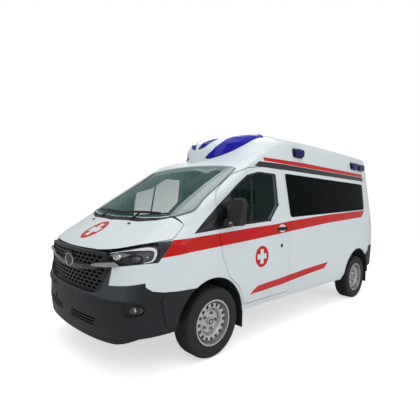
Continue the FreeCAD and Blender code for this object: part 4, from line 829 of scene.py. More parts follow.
def build_wheel_fittings():
    """Five nuts, the hub cap's crown, dark rings round the vents and in the groove by the rim's lip that are
    painted shade, and the valve of each wheel.
    """
    for name in WHEELS:
        place, body = wheel_place(name), "wheel_" + name
        nuts = bmesh.new()
        for at, a in round_axis(place, NUTS, NUT_RING):
            turned(nuts, [(.0355, .0165), (.0385, .0165), (.0395, .0135), (.0535, .0135), (.0565, .0105),
                          (.0570, 0)],
                   at @ Matrix.Rotation(a, 4, "X"), 6)
        piece("nuts_" + name, nuts, "bolt_steel", body)
        for part, finish, line in WHEEL_RINGS:
            lathe(part + name, line, place, finish, body, 40, cap=False)
        # Painted shade: dark rings round each vent make the holes read wider, and a dark ring lies in the
        # groove by the rim's lip.
        hole_shade = bmesh.new()
        for at, _ in round_axis(place, VENTS, VENT_RING):
            turned(hole_shade, [(.0716, .0125), (.0729, .0130), (.0731, .0160), (.0716, .0168)], at, 20, cap=False)
        turned(hole_shade, [(.0690, .1800), (.0712, .1815), (.0712, .1850), (.0690, .1860)], place, 64, cap=False)
        piece("vent_hole_shade_" + name, hole_shade, "seal_rubber", body)
        at = (place @ Matrix.Rotation(0.31, 4, "X") @ Matrix.Translation((0, 0.187, 0))
              @ Matrix.Rotation(0.5, 4, "Z"))
        lathe("valve_" + name, [(.052, .0048), (.068, .0045), (.070, .0040), (.071, .0048), (.083, .0046),
                                (.085, .0030), (.085, 0)], at, "seal_rubber", body, 12)


def outward_faces(node, side, way, least, gap):
    """The faces of a node on one side that look along a way."""
    bm = bmesh.new()
    bm.from_mesh(NODES[node].data)
    bmesh.ops.remove_doubles(bm, verts=bm.verts[:], dist=gap)
    drop = [f for f in bm.faces if f.calc_center_median().x * side < 0 or f.normal.dot(way) < least]
    bmesh.ops.delete(bm, geom=drop, context="FACES")
    return bm


def lamp_bowl(side, word):
    """The dark inside of a headlamp: the cover's own form set back, with a rim up to the edge."""
    slope = Vector((side * 0.62, -0.70, 0.35))
    way = slope.normalized()
    bowl = outward_faces("headlamps", side, slope, 0.55, WELD_GAP)
    middle = sum((v.co for v in bowl.verts), Vector()) / len(bowl.verts)
    made = bmesh.ops.extrude_edge_only(bowl, edges=[e for e in bowl.edges if e.is_boundary])
    rim = {v for v in made["geom"] if isinstance(v, bmesh.types.BMVert)}
    for v in bowl.verts:
        inward = middle - v.co
        inward -= way * inward.dot(way)
        draw, sink = (0.03, 0.004) if v in rim else (0.10, 0.034)
        v.co += inward * draw - way * sink
    piece("lamp_bowl_" + word, bowl, "lamp_dark", "body")


def ribbon(name, nodes, points, depth, thick, finish, body):
    """A flat bar that follows the skin from inside: points of (x, y, z, width)."""
    line = smooth_line([Vector(p[:3]) for p in points], 0.008)
    bm = bmesh.new()
    rings = []
    for i, (p, run) in enumerate(along(line)):
        at, out = under(nodes, p, depth)
        across = out.cross(run).normalized()
        u = i / (len(line) - 1) * (len(points) - 1)
        k = min(int(u), len(points) - 2)
        half = (points[k][3] + (points[k + 1][3] - points[k][3]) * (u - k)) / 2
        rings.append([bm.verts.new(at + across * a * half + out * b * thick) for a, b in
                      ((-1, 0), (-0.8, 1), (0.8, 1), (1, 0), (0.8, -1), (-0.8, -1))])
    join(bm, rings)
    piece(name, bm, finish, body)


LAMP_BARS = (
    ("light_guide_", "guide_white", 0.010, 0.0025,
     [(610, -910, 1046, 5), (678, -871, 1063, 5), (772, -793, 1083, 6), (832, -727, 1094, 8),
      (868, -680, 1097, 11), (895, -647, 1085, 19), (905, -647, 1066, 25), (907, -649, 1046, 28),
      (908, -662, 1019, 27), (904, -681, 998, 22), (891, -706, 989, 11), (873, -738, 984, 6)]),
    ("lamp_fan_", "fan_grey", 0.020, 0.002,
     [(604, -916, 1028, 12), (640, -900, 1030, 34), (690, -868, 1034, 44), (730, -835, 1040, 30),
      (760, -808, 1046, 8)]),
    ("lamp_foot_", "gloss_black", 0.009, 0.002,
     [(640, -902, 972, 6), (720, -858, 966, 12), (800, -798, 974, 12), (880, -720, 980, 6)]))
LAMP_EYES = (
    (803, -777, 1009, 0.034, 1.75, "gloss_black", "lamp_eye"),
    (676, -882, 1024, 0.030, 1.25, "satin_silver", "reflector"),
    # The third eye is a small bright silver dot that stands in for a glint on the lamp's edge: a painted
    # glint.
    (875, -709, 1028, 0.012, 1.0, "satin_silver", "reflector"))
EYE_RING = [(-.034, 0.7), (-.020, 1), (-.012, 1.06), (-.0095, 1.02), (-.012, 0.90), (-.024, 0.84)]
EYE_BULB = [(-.030, 0.86), (-.022, 0.84), (-.0165, 0.66), (-.0125, 0.36), (-.0115, 0)]


def build_headlamps():
    shell = ["headlamps"]
    for side, word in SIDES:
        lamp_bowl(side, word)
    for side, word in SIDES:
        for name, finish, depth, thick, line in LAMP_BARS:
            ribbon(name + word, shell, [(side * x / 1000, fa(y), z / 1000, w / 1000) for x, y, z, w in line],
                   depth, thick, finish, "body")
        for k, (x, y, z, radius, wide, ring_finish, eye_finish) in enumerate(LAMP_EYES):
            r = radius * settings("lamps").reach
            place = (facing(*under(shell, (side * x / 1000, fa(y), z / 1000), 0.0))
                     @ Matrix.Diagonal((1, wide, 1, 1)))
            lathe("lamp_ring_%s_%d" % (word, k), [(a, r * b) for a, b in EYE_RING], place, ring_finish,
                  "body", 32, cap=False)
            lathe("lamp_eye_%s_%d" % (word, k), [(a, r * b) for a, b in EYE_BULB], place, eye_finish, "body",
                  32)


GRILLE_RADIUS, GRILLE_FRONT = 2.888, fa(-1004)
ROW_PITCH, WAVE_PITCH = 0.034, 0.075
WAVE_ROWS = [0.732 + ROW_PITCH * k for k in range(8)]
BADGE_HEIGHT, BADGE_WIDE, BADGE_HIGH = 0.921, 0.094, 0.062
WING_BAR = [(0.075, 0.905), (0.075, 0.858), (0.150, 0.860), (0.240, 0.868), (0.330, 0.878), (0.430, 0.892),
            (0.520, 0.906), (0.520, 0.940), (0.430, 0.932), (0.340, 0.922), (0.250, 0.914), (0.160, 0.908)]
WING_TIP = [(0.415, 0.925), (0.468, 0.921), (0.518, 0.924), (0.60, 0.932), (0.67, 0.941), (0.734, 0.950),
            (0.713, 0.966), (0.686, 0.979), (0.626, 0.974), (0.568, 0.965), (0.480, 0.950), (0.433, 0.938)]
BADGE_RIM = [(1.0, -.004), (1.0, .012), (.96, .015), (.90, .0145), (.87, .012), (.86, .008)]
BADGE_FACE = [(.87, .004), (.86, .0095), (.60, .0115), (.30, .0125), (0, .0130)]


def grille_face(x, z, out=0.0):
    """A place on the bent front of the mesh."""
    return Vector((x, GRILLE_FRONT + GRILLE_RADIUS - math.sqrt((GRILLE_RADIUS + out) ** 2 - x * x), z))


def mirrored(points, side):
    """A flat outline on one side, that still runs the same way round."""
    return [(side * a, b) for a, b in points][::side]


def build_grille_trim():
    """Wave bars along the mesh's webs, lighter than the mesh as a painted highlight on their tops, wing bars,
    silver blades and the bare oval badge.
    """
    # The bars follow the wavy rows of the mesh's webs, and their lighter colour is a painted highlight along
    # those tops.
    waves = bmesh.new()
    step, height, lift = 0.0075, 0.0042, 0.0005
    for row, base in enumerate(WAVE_ROWS):
        reach = 0.47 + min(1.0, (base - 0.70) / 0.09) * 0.09 if base < 0.95 else 0.575
        rings = []
        for k in range(int(2 * reach / step) + 1):
            x = -reach + k * step
            phase = TURN * (x - WAVE_PITCH / 2 * (row % 2)) / WAVE_PITCH
            centre = grille_face(x, base + ROW_PITCH / 2 + height * math.cos(phase), lift)
            rings.append([waves.verts.new(centre + Vector((0, -0.003 * math.sin(a), 0.0038 * math.cos(a))))
                          for a in (0.0, 0.785, 1.571, 2.356, 3.1416, 4.712)])
        join(waves, rings)
    piece("grille_waves", waves, "wave_highlight", "body", angle=60)

    nodes = ["grille", "headlamps", "nose_panels", "bonnet", "front_fenders"]
    for side, word in SIDES:
        plate("wing_bar_" + word, mirrored(WING_BAR, side), "front", nodes, "wing_black", "body", thick=0.012,
              bevel=0.004, reach=0.02)
        plate("wing_tip_" + word, mirrored(WING_TIP, side), "front", nodes, "blade_silver", "body",
              lift=0.002, thick=0.014, bevel=0.005, reach=0.02)
    for name, finish, line in (("badge_rim", "satin_silver", BADGE_RIM),
                               ("badge_face", "trim_black", BADGE_FACE)):
        bm = bmesh.new()
        join(bm, [[bm.verts.new(grille_face(BADGE_WIDE * share * math.cos(a),
                                            BADGE_HEIGHT + BADGE_HIGH * share * math.sin(a), out))
                   for a in angles(40 if share else 1)] for share, out in line], caps=False)
        piece(name, bm, finish, "body")


def ridge(name, points, nodes, finish, rise, up, down):
    """A moulded crease: a long slope above and a short step below, laid on the front of the nodes."""
    run = smooth_line([(a, b, 0) for a, b in points], 0.015)
    bm = bmesh.new()
    rings = []
    for i, p in enumerate(run):
        high = rise * min(1.0, math.sin(math.pi * i / (len(run) - 1)) * 2.0)
        ring, base = [], touch(nodes, "front", p.x, p.y)
        for dz, out in ((-down, -0.001), (-0.004, high * 0.9), (-0.001, high), (0.004, high * 0.96),
                        (up * 0.55, high * 0.35), (up, -0.001)):
            hit = touch(nodes, "front", p.x, p.y + dz)
            base = Vector((p.x, base.y, p.y + dz)) if hit is None else hit
            ring.append(bm.verts.new(base + Vector((0, -out, 0))))
        rings.append(ring)
    join(bm, rings)
    piece(name, bm, finish, "body")


FOG_RIM = [(-.008, .0290), (.001, .0290), (.0030, .0265), (.001, .0235), (-.006, .0230)]
FOG_LENS = [(-.006, .0232), (-.001, .0220), (.003, .0150), (.0045, .0070), (.005, 0)]
FOG_GLINT = [(.001, .0075), (.0045, .0070), (.0070, .0045), (.0080, 0)]
BUMPER_CREASE = [(.30, .622), (.409, .631), (.571, .646), (.716, .665), (.800, .674), (.860, .6745),
                 (.890, .668)]


def build_bumper_trim():
    for side, word in SIDES:
        points = [v.co for v in NODES["fog_lamps"].data.vertices if v.co.x * side > 0]
        x, z = sum(v.x for v in points) / len(points), sum(v.z for v in points) / len(points)
        place = facing(touch(["fog_lamps"], "front", x, z), (side * 0.35, -1, 0))
        lathe("fog_rim_" + word, FOG_RIM, place, "trim_black", "body", 32, cap=False)
        lathe("fog_lens_" + word, FOG_LENS, place, "lamp_eye", "body", 32)
        # Painted glint: a small white piece that glows, stretched upright on the fog lens.
        glint = place @ Matrix.Translation((0, -side * .004, .002)) @ Matrix.Diagonal((1, .75, 2.4, 1))
        lathe("fog_glint_" + word, FOG_GLINT, glint, "guide_white", "body", 20)
        ridge("bumper_crease_" + word, [(side * a, b) for a, b in BUMPER_CREASE], ["front_bumper"],
              "bumper_plastic", 0.018, 0.060, 0.012)


def build_washers():
    for k, x in enumerate((-0.38, 0.38)):
        nozzle = bmesh.new()
        place = facing(touch(["bonnet"], "top", x, fa(-595)), (0, 1, 0))
        block(nozzle, (-.017, -.013, -.001), (.015, .013, .010), 0.004, place)
        turned(nozzle, [(.013, .0035), (.018, .0030), (.0185, 0)], place @ Matrix.Translation((0, 0, .005)),
               10)
        piece("washer_nozzle_%d" % k, nozzle, "trim_black", "bonnet")


def handle(name, body, look, node, a0, a1, b, drop=0.0):
    """A pull handle: a bowed bar on two feet with a dished plate behind it."""
    cup = [(a0 + 0.02, b - 0.020), (a1 - 0.02, b - 0.020), (a1, b), (a1 - 0.02, b + 0.020),
           (a0 + 0.02, b + 0.020), (a0, b)]
    plate(name + "_plate", rounded(cup, 0.018), look, [node], "trim_black", body, thick=0.002, step=0.02)
    run = []
    for k in range(9):
        t = k / 8
        hit = touch([node], look, a0 + (a1 - a0) * t, b + drop * (t - 0.5))
        run.append(hit - LOOKS[look][0] * (0.004 + 0.024 * math.sin(math.pi * t) ** 0.45))
    tube(name, run, 0.0115, "trim_black", body, sides=12, flat=0.8,
         taper=lambda t: 0.75 + 0.25 * math.sin(math.pi * t))


def build_handles():
    for side, word in SIDES:
        door, node = "door_front_" + word, "front_door_" + word
        handle("door_handle_" + word, door, word, node, fa(1012), fa(1222), 1.213, 0.012)
        lathe("door_lock_" + word, [(-.002, .023), (.002, .023), (.005, .0195), (.0035, .0140), (.0035, 0)],
              facing(touch([node], word, fa(1098), 1.014), (side, 0, 0)), "gloss_black", door, 28)
    handle("sliding_handle", "body", "right", "sliding_side_door", fa(1300), fa(1480), 1.10)
    strip("slide_rail", [(fa(y), 1.165) for y in (2570, 3000, 3500)], "right", ["body_side_right"],
          "trim_black", "body", width=0.026, thick=0.003)


SCREEN_EDGE = [(747, -2047, 1356), (708, -1937, 1426), (690, -1820, 1507), (680, -1667, 1608),
               (676, -1499, 1716), (682, -1346, 1811), (697, -1193, 1905)]
SCREEN_SIDE = [(800, -2014, 1363), (848, -1926, 1389), (884, -1838, 1428), (889, -1700, 1515),
               (872, -1509, 1645), (855, -1371, 1745), (826, -1205, 1868)]


def band_between(name, nodes, inner, outer, side, lift, finish, body):
    """A smooth sheet over the skin between two lines, bridging gaps; its outer edge is returned."""
    lines = [smooth_line([Vector((side * x, y, z)) / 1000 for x, y, z in line], 0.03)
             for line in (inner, outer)]
    away = Vector((side * 0.75, -0.55, 0.35)).normalized()
    count, across, thick = 40, 10, 0.003
    base, heights = [], []
    for i in range(count + 1):
        a, b = (line[round(i / count * (len(line) - 1))] for line in lines)
        row = [a.lerp(b, k / across) for k in range(across + 1)]
        hits = [skin(nodes).ray_cast(at + away * 0.25, -away, 0.35)[0] for at in row]
        found = [None if hit is None else (hit - at).dot(away) for hit, at in zip(hits, row)]
        highest = max((h for h in found if h is not None), default=0.0)
        base.append(row)
        heights.append([highest if h is None else h for h in found])

    def spread(grid, sum_up):
        """Each place of a grid from the nine round it."""
        return [[sum_up([grid[min(max(i + di, 0), count)][min(max(k + dk, 0), across)]
                         for di in (-1, 0, 1) for dk in (-1, 0, 1)]) for k in range(across + 1)]
                for i in range(count + 1)]

    top = spread(heights, max)
    even = spread(top, lambda values: sum(values) / 9)
    bm = bmesh.new()
    rows = [[bm.verts.new(base[i][k] + away * (max(even[i][k], top[i][k] - 0.001)
                                               + lift * (0.3 if k in (0, across) else 1.0)))
             for k in range(across + 1)] for i in range(count + 1)]
    for r0, r1 in zip(rows, rows[1:]):
        for k in range(across):
            bm.faces.new((r0[k], r0[k + 1], r1[k + 1], r1[k]))
    edge = [r[across].co.copy() for r in rows]
    for v in bm.verts:
        v.co -= away * thick
    thicken(bm, away, thick)
    piece(name, bm, finish, body, angle=60)
    return edge


def outer_loops(node, side, way):
    """The rims of the outward faces of a node on one side, each as a closed run of points."""
    bm = outward_faces(node, side, way, 0.3, 0.00003)
    links = {}
    for e in bm.edges:
        if e.is_boundary:
            for v in e.verts:
                links.setdefault(v, []).append(e.other_vert(v))
    loops, used = [], set()
    for start in links:
        run, at = [], start
        while at is not None and at not in used:
            used.add(at)
            run.append(at.co.copy())
            at = next((v for v in links[at] if v not in used), None)
        if len(run) > 4:
            loops.append(run)
    bm.free()
    return loops


def even_run(points, step):
    """Points at about even steps along a closed run, with corners kept soft."""
    n = len(points)
    total = sum((points[i] - points[i - 1]).length for i in range(n))
    count = max(8, int(total / step))
    here, goal, walked = points[0].copy(), total / count, 0.0
    out, i = [here.copy()], 1
    while len(out) < count and i <= 2 * n:
        target = points[i % n]
        gap = (target - here).length
        if walked + gap < goal:
            walked += gap
            here = target.copy()
            i += 1
        else:
            here = here + (target - here).normalized() * (goal - walked)
            walked = 0.0
            out.append(here.copy())
    return out


def window_outline(node, inset):
    """The convex outline of a pane seen from its side, drawn in by an inset: (y, z) points."""
    points = sorted({(round(v.co.y, 4), round(v.co.z, 4)) for v in NODES[node].data.vertices})

    def half(run):
        out = []
        for p in run:
            while len(out) > 1 and ((out[-1][0] - out[-2][0]) * (p[1] - out[-2][1])
                                    - (out[-1][1] - out[-2][1]) * (p[0] - out[-2][0])) <= 1e-7:
                out.pop()
            out.append(p)
        return out[:-1]

    hull = half(points) + half(points[::-1])
    lines = []
    for a, b in zip(hull, hull[1:] + hull[:1]):
        t = (Vector(b) - Vector(a))
        if t.length > 0.012:
            t.normalize()
            lines.append((Vector(a) + Vector((-t.y, t.x)) * inset, t))
    out = []
    for (p, t), (q, u) in zip(lines, lines[1:] + lines[:1]):
        cross = t.x * u.y - t.y * u.x
        if abs(cross) < 0.02:
            out.append(tuple(q))
        else:
            w = q - p
            out.append(tuple(p + t * ((w.x * u.y - w.y * u.x) / cross)))
    return out


def build_window_trim():
    for side, word in SIDES:
        nodes = ["windscreen", "roof_cap", "front_fenders", "body_side_" + word]
        outer = [Vector(p).lerp(Vector(q), 0.04 if p[1] < -1750 else 0.22)
                 for p, q in zip(SCREEN_SIDE, SCREEN_EDGE)]
        # The bands by the windscreen's sides carry painted reflection of the sky.
        edge = band_between("screen_reflection_" + word, nodes, SCREEN_EDGE, outer, side, 0.003, "screen_reflection",
                            "body")
        tube("screen_rubber_" + word, edge, 0.005, "screen_rubber", "body", sides=8)
        pane, door = "front_door_glass_" + word, "door_front_" + word
        strip("door_rubber_" + word, rounded(window_outline(pane, 0.012), 0.03), word,
              [pane, "front_door_" + word], "trim_black", door, width=0.022, lift=0.001, thick=0.004,
              closed=True)
        bar = [(fa(a), b) for a, b in ((548, 1.306), (560, 1.45), (574, 1.62), (586, 1.785))]
        strip("quarter_bar_" + word, bar, word, [pane], "trim_black", door, width=0.026, thick=0.004)


MIRROR_FACE = [(1.002, 1.302), (1.140, 1.302), (1.140, 1.520), (1.030, 1.528), (1.004, 1.47)]
MIRROR_TURN = [(1.024, 1.276), (1.070, 1.276), (1.064, 1.318), (1.028, 1.318)]


def build_mirrors():
    for side, word in SIDES:
        node, door = ["mirror_" + word], "door_front_" + word
        plate("mirror_glass_" + word, rounded(mirrored(MIRROR_FACE, side), 0.02), "back", node, "mirror_face",
              door, thick=0.0025, step=0.04)
        plate("mirror_turn_" + word, rounded(mirrored(MIRROR_TURN, side), 0.006), "front", node, "pale_lens",
              door, thick=0.004)


def oblong(a, b, low, high):
    return [(a, low), (b, low), (b, high), (a, high)]


def build_side_lamps():
    for k, y in enumerate((fa(1590), REAR_AXLE + 0.024, REAR_AXLE + 0.292)):
        for _, word in SIDES:
            strip("side_lamp_frame_%s_%d" % (word, k),
                  rounded(oblong(y - .110, y + .110, 2.122, 2.226), 0.03), word,
                  ["body_side_" + word, "roof_cap"], "band_dark", "body", width=0.016, thick=0.006,
                  closed=True)


def build_beacon_trim():
    """Dark rubber round each lens of the beacon."""
    for side, word in SIDES:
        way = Vector((side * 0.75, -0.35, 0.55)).normalized()
        for k, run in enumerate(outer_loops("beacon_lenses", side, way)):
            tube("beacon_edge_%s_%d" % (word, k), even_run(run, 0.02), 0.0042, "seal_rubber", "body", sides=8,
                 closed=True)


def build_rear_fittings():
    doors = ["rear_door_left", "rear_door_right"]
    plate("plate_rear", rounded(oblong(0.10, 0.58, 0.80, 0.92), 0.008), "back", doors, "plate_blank",
          "door_rear_left", lift=0.006, thick=0.002, step=0.5)
    plate("plate_frame", rounded(oblong(0.085, 0.595, 0.785, 0.935), 0.012), "back", doors, "trim_black",
          "door_rear_left", thick=0.007, step=0.1)
    plate("plate_lamp", rounded(oblong(0.22, 0.46, 0.955, 0.985), 0.008), "back", doors, "trim_black",
          "door_rear_left", thick=0.018, step=0.05, bevel=0.004)
    handle("rear_handle", "door_rear_right", "back", "rear_door_right", -0.17, -0.04, 1.10)
    for side, word in SIDES:
        for k, z in enumerate((0.78, 1.22, 1.72)):
            at = touch(["rear_door_" + word, "body_side_" + word], "back", side * 0.785, z)
            hinge = bmesh.new()
            block(hinge, (-.050, -.004, -.022), (.006, .010, .022), 0.004,
                  Matrix.Translation(at) @ Matrix.Rotation(0 if side > 0 else math.pi, 4, "Y"))
            piece("rear_hinge_%s_%d" % (word, k), hinge, "white_livery", "door_rear_" + word)


def build_wiper_rubbers():
    for k, (x0, y0, x1, y1) in enumerate(((-600, -412, 20, -478), (40, -478, 620, -404))):
        run = [touch(["wipers", "windscreen", "cowl_panel", "bonnet"], "top", (x0 + (x1 - x0) * t / 6) / 1000,
                     fa(y0 + (y1 - y0) * t / 6)) for t in range(7)]
        tube("wiper_spine_%d" % k, run, 0.0045, "trim_black", "body", sides=8)


DRIVER_X = 0.415
WHEEL_RAKE = math.radians(28)


def build_cab():
    place = facing((DRIVER_X, fa(352), 1.148), (0, math.cos(WHEEL_RAKE), math.sin(WHEEL_RAKE)))
    lathe("wheel_pad", [(-.045, .040), (-.030, .066), (-.012, .074), (.000, .068), (.006, .045), (.008, 0)],
          place, "cab_plastic", "steering_wheel", 36)
    hood = bmesh.new()
    block(hood, (0.26, fa(20), 1.215), (0.57, fa(170), 1.300), 0.03)
    piece("instrument_hood", hood, "cab_plastic", "body")
    dials = bmesh.new()
    for x in (0.345, 0.485):
        turned(dials, [(0, .040), (.003, .040), (.004, .034), (.002, .031), (.002, 0)],
               facing((x, fa(170), 1.255), (0, 1, 0)), 28)
    piece("instruments", dials, "gloss_black", "body")
    screen = bmesh.new()
    block(screen, (-0.12, fa(118), 1.13), (0.12, fa(146), 1.275), 0.008)
    piece("centre_screen", screen, "gloss_black", "body")
    tube("gear_lever", [(0.0, fa(150), 0.90), (0.0, fa(172), 0.98), (0.0, fa(186), 1.03)], 0.009,
         "trim_black", "body")
    lathe("gear_knob", [(-.03, .012), (-.02, .022), (.0, .027), (.02, .023), (.03, 0)],
          facing((0, fa(190), 1.045), (0, .3, 1)), "gloss_black", "body")


SEAM = 0.56
SEAT_FORMS = (
    ("seat_cushion", 0.452, 0.006, True, 0.010, 0.85,
     [(545, 812), (560, 782), (640, 768), (800, 764), (960, 766), (1010, 790), (1016, 840), (990, 872),
      (900, 872), (760, 876), (640, 884), (570, 868)]),
    ("seat_back", 0.448, 0.003, True, 0.004, 0.8,
     [(1008, 900), (1000, 980), (1022, 1080), (1052, 1200), (1074, 1280), (1100, 1300), (1142, 1292),
      (1150, 1240), (1120, 1080), (1082, 900), (1060, 850), (1020, 850)]),
    ("seat_headrest", 0.240, 0.004, False, 0.0, 0.85,
     [(1092, 1350), (1084, 1400), (1092, 1470), (1112, 1502), (1150, 1500), (1168, 1450), (1166, 1380),
      (1140, 1346)]))


def pad_form(x, outline, width, crown, sewn, bolster):
    """A stuffed form: a side outline swept across the width, crowned between its edges, with sewn lines."""
    bm = bmesh.new()
    half = [0.0, 0.30, 0.50, SEAM, 0.62, 0.74, 0.88, 0.97, 1.0]
    points = [Vector((fa(a), b / 1000)) for a, b in outline]
    middle = sum(points, Vector((0, 0))) / len(points)
    rings = []
    for s in [-a for a in half[:0:-1]] + half:
        pull = 1.0 - 0.16 * max(0.0, (abs(s) - 0.88) / 0.12) ** 2
        swell = crown * (1 - s * s) + bolster * math.exp(-((abs(s) - 0.80) / 0.16) ** 2)
        if sewn and abs(s) == SEAM:
            swell -= 0.008
        ring = []
        for d in (p - middle for p in points):
            q = middle + d * pull + d.normalized() * swell
            ring.append(bm.verts.new((x + s * width / 2, q[0], q[1])))
        rings.append(ring)
    join(bm, rings)
    return bm


def build_seats():
    """Two cab seats: base, cushion, back and headrest with sewn lines, on the space of the plain solid."""
    for word, x in (("left", DRIVER_X), ("right", -DRIVER_X)):
        for name, width, crown, sewn, bolster, fill, outline in SEAT_FORMS:
            obj = piece(name + "_" + word, pad_form(x, outline, width, crown, sewn, bolster), "seat_cloth",
                        "body", angle=60)
            smooth = obj.modifiers.new("smooth", "SUBSURF")
            smooth.levels = smooth.render_levels = 2
            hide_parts("front_seats")
        base = bmesh.new()
        block(base, (x - .200, fa(618), .562), (x + .200, fa(1020), .700), .012)
        block(base, (x - .185, fa(632), .698), (x + .185, fa(1010), .762), .008)
        piece("seat_base_" + word, base, "cab_plastic", "body")
        posts = bmesh.new()
        for dx in (-0.06, 0.06):
            turned(posts, [(-.10, .006), (.085, .006)], facing((x + dx, fa(1122), 1.28), (0, .12, 1)), 12)
        piece("seat_posts_" + word, posts, "satin_silver", "body")


AREA_LAMPS = (("key", (6.5, -7.0, 7.5), (0, -0.5, 0.9), 290, 6.0),
              ("side", (8.5, 3.0, 4.0), (0, 0.6, 1.2), 170, 5.0),
              ("back", (-6.0, 5.0, 6.0), (0, 0.5, 1.2), 250, 5.0),
              ("top", (0.5, -1.5, 8.0), (0, -0.5, 1.0), 380, 7.0))
CAMERA_PLACE = (3.207, -3.897, 1.494)
CAMERA_YAW, CAMERA_PITCH, CAMERA_ROLL = math.radians(45.96), math.radians(-1.19), math.radians(1.58)


def build_sky(level):
    """Even light from all round, which is white where it is seen."""
    world = bpy.context.scene.world = bpy.data.worlds.new("soft_light")
    world.use_nodes = True
    nodes, links = world.node_tree.nodes, world.node_tree.links
    path = nodes.new("ShaderNodeLightPath")
    seen = nodes.new("ShaderNodeMath")
    seen.operation, seen.use_clamp = "MAXIMUM", True
    strength = nodes.new("ShaderNodeMapRange")
    strength.inputs["To Min"].default_value, strength.inputs["To Max"].default_value = level, 1.0
    links.new(path.outputs["Is Camera Ray"], seen.inputs[0])
    links.new(path.outputs["Is Transmission Ray"], seen.inputs[1])
    links.new(seen.outputs[0], strength.inputs["Value"])
    links.new(strength.outputs[0], nodes["Background"].inputs["Strength"])
    nodes["Background"].inputs["Color"].default_value = (1, 1, 1, 1)


def build_stage():
    stage, scene = settings("stage"), bpy.context.scene
    floor = bpy.data.meshes.new("floor")
    floor.from_pydata([(-60, -60, 0), (60, -60, 0), (60, 60, 0), (-60, 60, 0)], [], [(0, 1, 2, 3)])
    ground = bpy.data.objects.new("floor", floor)
    scene.collection.objects.link(ground)
    floor.materials.append(floor_finish(stage.floor))
    build_sky(stage.sky)
    for name, place, target, power, size in AREA_LAMPS:
        data = bpy.data.lights.new(name, "AREA")
        data.energy, data.size = power * stage.key, size
        obj = bpy.data.objects.new(name, data)
        obj.location = place
        obj.rotation_euler = (Vector(target) - Vector(place)).to_track_quat("-Z", "Y").to_euler()
        scene.collection.objects.link(obj)

    data = bpy.data.cameras.new("camera")
    data.sensor_width, data.lens, data.clip_end = 36.0, stage.lens, 200.0
    camera = bpy.data.objects.new("camera", data)
    right = Vector((math.cos(CAMERA_YAW), math.sin(CAMERA_YAW), 0))
    level = Vector((-math.sin(CAMERA_YAW), math.cos(CAMERA_YAW), 0))
    ahead = level * math.cos(CAMERA_PITCH) + Vector((0, 0, math.sin(CAMERA_PITCH)))
    up = right.cross(ahead)
    across = right * math.cos(CAMERA_ROLL) + up * math.sin(CAMERA_ROLL)
    turn = Matrix((across, up * math.cos(CAMERA_ROLL) - right * math.sin(CAMERA_ROLL), -ahead)).transposed()
    camera.matrix_world = Matrix.Translation(CAMERA_PLACE) @ turn.to_4x4()
    scene.collection.objects.link(camera)
    scene.camera = camera
    scene.view_settings.view_transform = "Standard"


class PaintOperator(bpy.types.Operator):
    """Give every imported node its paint, glass, plastic or metal"""
    bl_idname = "ambulance.paint"
    bl_label = "Paint and finishes"

    def execute(self, context):
        build_materials()
        finish_nodes()
        return {"FINISHED"}


class TyresOperator(bpy.types.Operator):
    """Put a tyre with tread on each wheel"""
    bl_idname = "ambulance.tyres"
    bl_label = "Tyres"

    def execute(self, context):
        build_tyres()
        return {"FINISHED"}


class WheelFittingsOperator(bpy.types.Operator):
    """Add the nuts, hub cap, painted shade rings at the vents and the valve of each wheel"""
    bl_idname = "ambulance.wheel_fittings"
    bl_label = "Wheel fittings"

    def execute(self, context):
        build_wheel_fittings()
        return {"FINISHED"}


class HeadlampsOperator(bpy.types.Operator):
    """Fill the headlamps with their bowl, eyes and light guide"""
    bl_idname = "ambulance.headlamps"
    bl_label = "Headlamps"

    def execute(self, context):
        build_headlamps()
        return {"FINISHED"}


class GrilleTrimOperator(bpy.types.Operator):
    """Add the wave bars, wing bars, silver tips and bare oval badge"""
    bl_idname = "ambulance.grille_trim"
    bl_label = "Grille trim"

    def execute(self, context):
        build_grille_trim()
        return {"FINISHED"}


class BumperTrimOperator(bpy.types.Operator):
    """Add the fog lamp frames and lenses and the bumper's crease"""
    bl_idname = "ambulance.bumper_trim"
    bl_label = "Bumper trim"

    def execute(self, context):
        build_bumper_trim()
        return {"FINISHED"}


class WashersOperator(bpy.types.Operator):
    """Set the washer nozzles on the bonnet"""
    bl_idname = "ambulance.washers"
    bl_label = "Washer nozzles"

    def execute(self, context):
        build_washers()
        return {"FINISHED"}


class HandlesOperator(bpy.types.Operator):
    """Add the handles and locks of the doors"""
    bl_idname = "ambulance.handles"
    bl_label = "Door handles"

    def execute(self, context):
        build_handles()
        return {"FINISHED"}


class WindowTrimOperator(bpy.types.Operator):
    """Add the windscreen's side bands and the bars and rubber of the windows"""
    bl_idname = "ambulance.window_trim"
    bl_label = "Window trim"

    def execute(self, context):
        build_window_trim()
        return {"FINISHED"}


class MirrorsOperator(bpy.types.Operator):
    """Add the mirror glass and turn lamps"""
    bl_idname = "ambulance.mirrors"
    bl_label = "Door mirrors"

    def execute(self, context):
        build_mirrors()
        return {"FINISHED"}


class SideLampsOperator(bpy.types.Operator):
    """Frame the lamps along the roof edge"""
    bl_idname = "ambulance.side_lamps"
    bl_label = "Side lamp frames"

    def execute(self, context):
        build_side_lamps()
        return {"FINISHED"}


class BeaconTrimOperator(bpy.types.Operator):
    """Put dark rubber round the blue lenses of the beacon"""
    bl_idname = "ambulance.beacon_trim"
    bl_label = "Beacon trim"

    def execute(self, context):
        build_beacon_trim()
        return {"FINISHED"}


class RearFittingsOperator(bpy.types.Operator):
    """Add the blank plate, handle and hinges of the rear doors"""
    bl_idname = "ambulance.rear_fittings"
    bl_label = "Rear fittings"

    def execute(self, context):
        build_rear_fittings()
        return {"FINISHED"}


class WiperBladesOperator(bpy.types.Operator):
    """Add the spines of the wiper blades"""
    bl_idname = "ambulance.wiper_blades"
    bl_label = "Wiper blades"

    def execute(self, context):
        build_wiper_rubbers()
        return {"FINISHED"}


class CabOperator(bpy.types.Operator):
    """Add the wheel pad, instruments, screen and gear lever"""
    bl_idname = "ambulance.cab"
    bl_label = "Cab"

    def execute(self, context):
        build_cab()
        return {"FINISHED"}


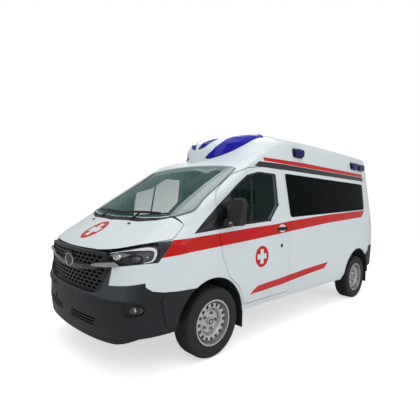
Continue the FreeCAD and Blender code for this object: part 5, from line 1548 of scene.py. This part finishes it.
class SeatsOperator(bpy.types.Operator):
    """Put padded cloth seats in the cab"""
    bl_idname = "ambulance.seats"
    bl_label = "Cab seats"

    def execute(self, context):
        build_seats()
        return {"FINISHED"}


class StageOperator(bpy.types.Operator):
    """Add the floor, the light and the camera"""
    bl_idname = "ambulance.stage"
    bl_label = "Stage"

    def execute(self, context):
        build_stage()
        return {"FINISHED"}


OPERATORS = (
    PaintOperator,
    TyresOperator,
    WheelFittingsOperator,
    HeadlampsOperator,
    GrilleTrimOperator,
    BumperTrimOperator,
    WashersOperator,
    HandlesOperator,
    WindowTrimOperator,
    MirrorsOperator,
    SideLampsOperator,
    BeaconTrimOperator,
    RearFittingsOperator,
    WiperBladesOperator,
    CabOperator,
    SeatsOperator,
    StageOperator,
)


class AmbulancePanel(bpy.types.Panel):
    """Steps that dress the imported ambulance, with their sizes and colours"""
    bl_idname = "AMBULANCE_PT_steps"
    bl_label = "Van ambulance"
    bl_space_type = "VIEW_3D"
    bl_region_type = "UI"
    bl_category = "Ambulance"

    def draw(self, context):
        for group in SETTINGS:
            box = self.layout.box()
            data = getattr(context.scene, group)
            for name in data.__annotations__:
                box.prop(data, name)
        for step in OPERATORS:
            self.layout.operator(step.bl_idname)


SETTINGS = {"ambulance_paint": PaintSettings, "ambulance_tyres": TyreSettings,
            "ambulance_lamps": LampSettings, "ambulance_stage": StageSettings}


def register():
    for group in SETTINGS.values():
        bpy.utils.register_class(group)
    for step in OPERATORS + (AmbulancePanel,):
        bpy.utils.register_class(step)
    for name, group in SETTINGS.items():
        setattr(bpy.types.Scene, name, PointerProperty(type=group))


def unregister():
    for name in SETTINGS:
        delattr(bpy.types.Scene, name)
    for step in (AmbulancePanel,) + OPERATORS[::-1]:
        bpy.utils.unregister_class(step)
    for group in SETTINGS.values():
        bpy.utils.unregister_class(group)


def main():
    register()
    for step in OPERATORS:
        group, name = step.bl_idname.split(".")
        getattr(getattr(bpy.ops, group), name)()
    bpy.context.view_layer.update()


if __name__ == "__main__":
    main()
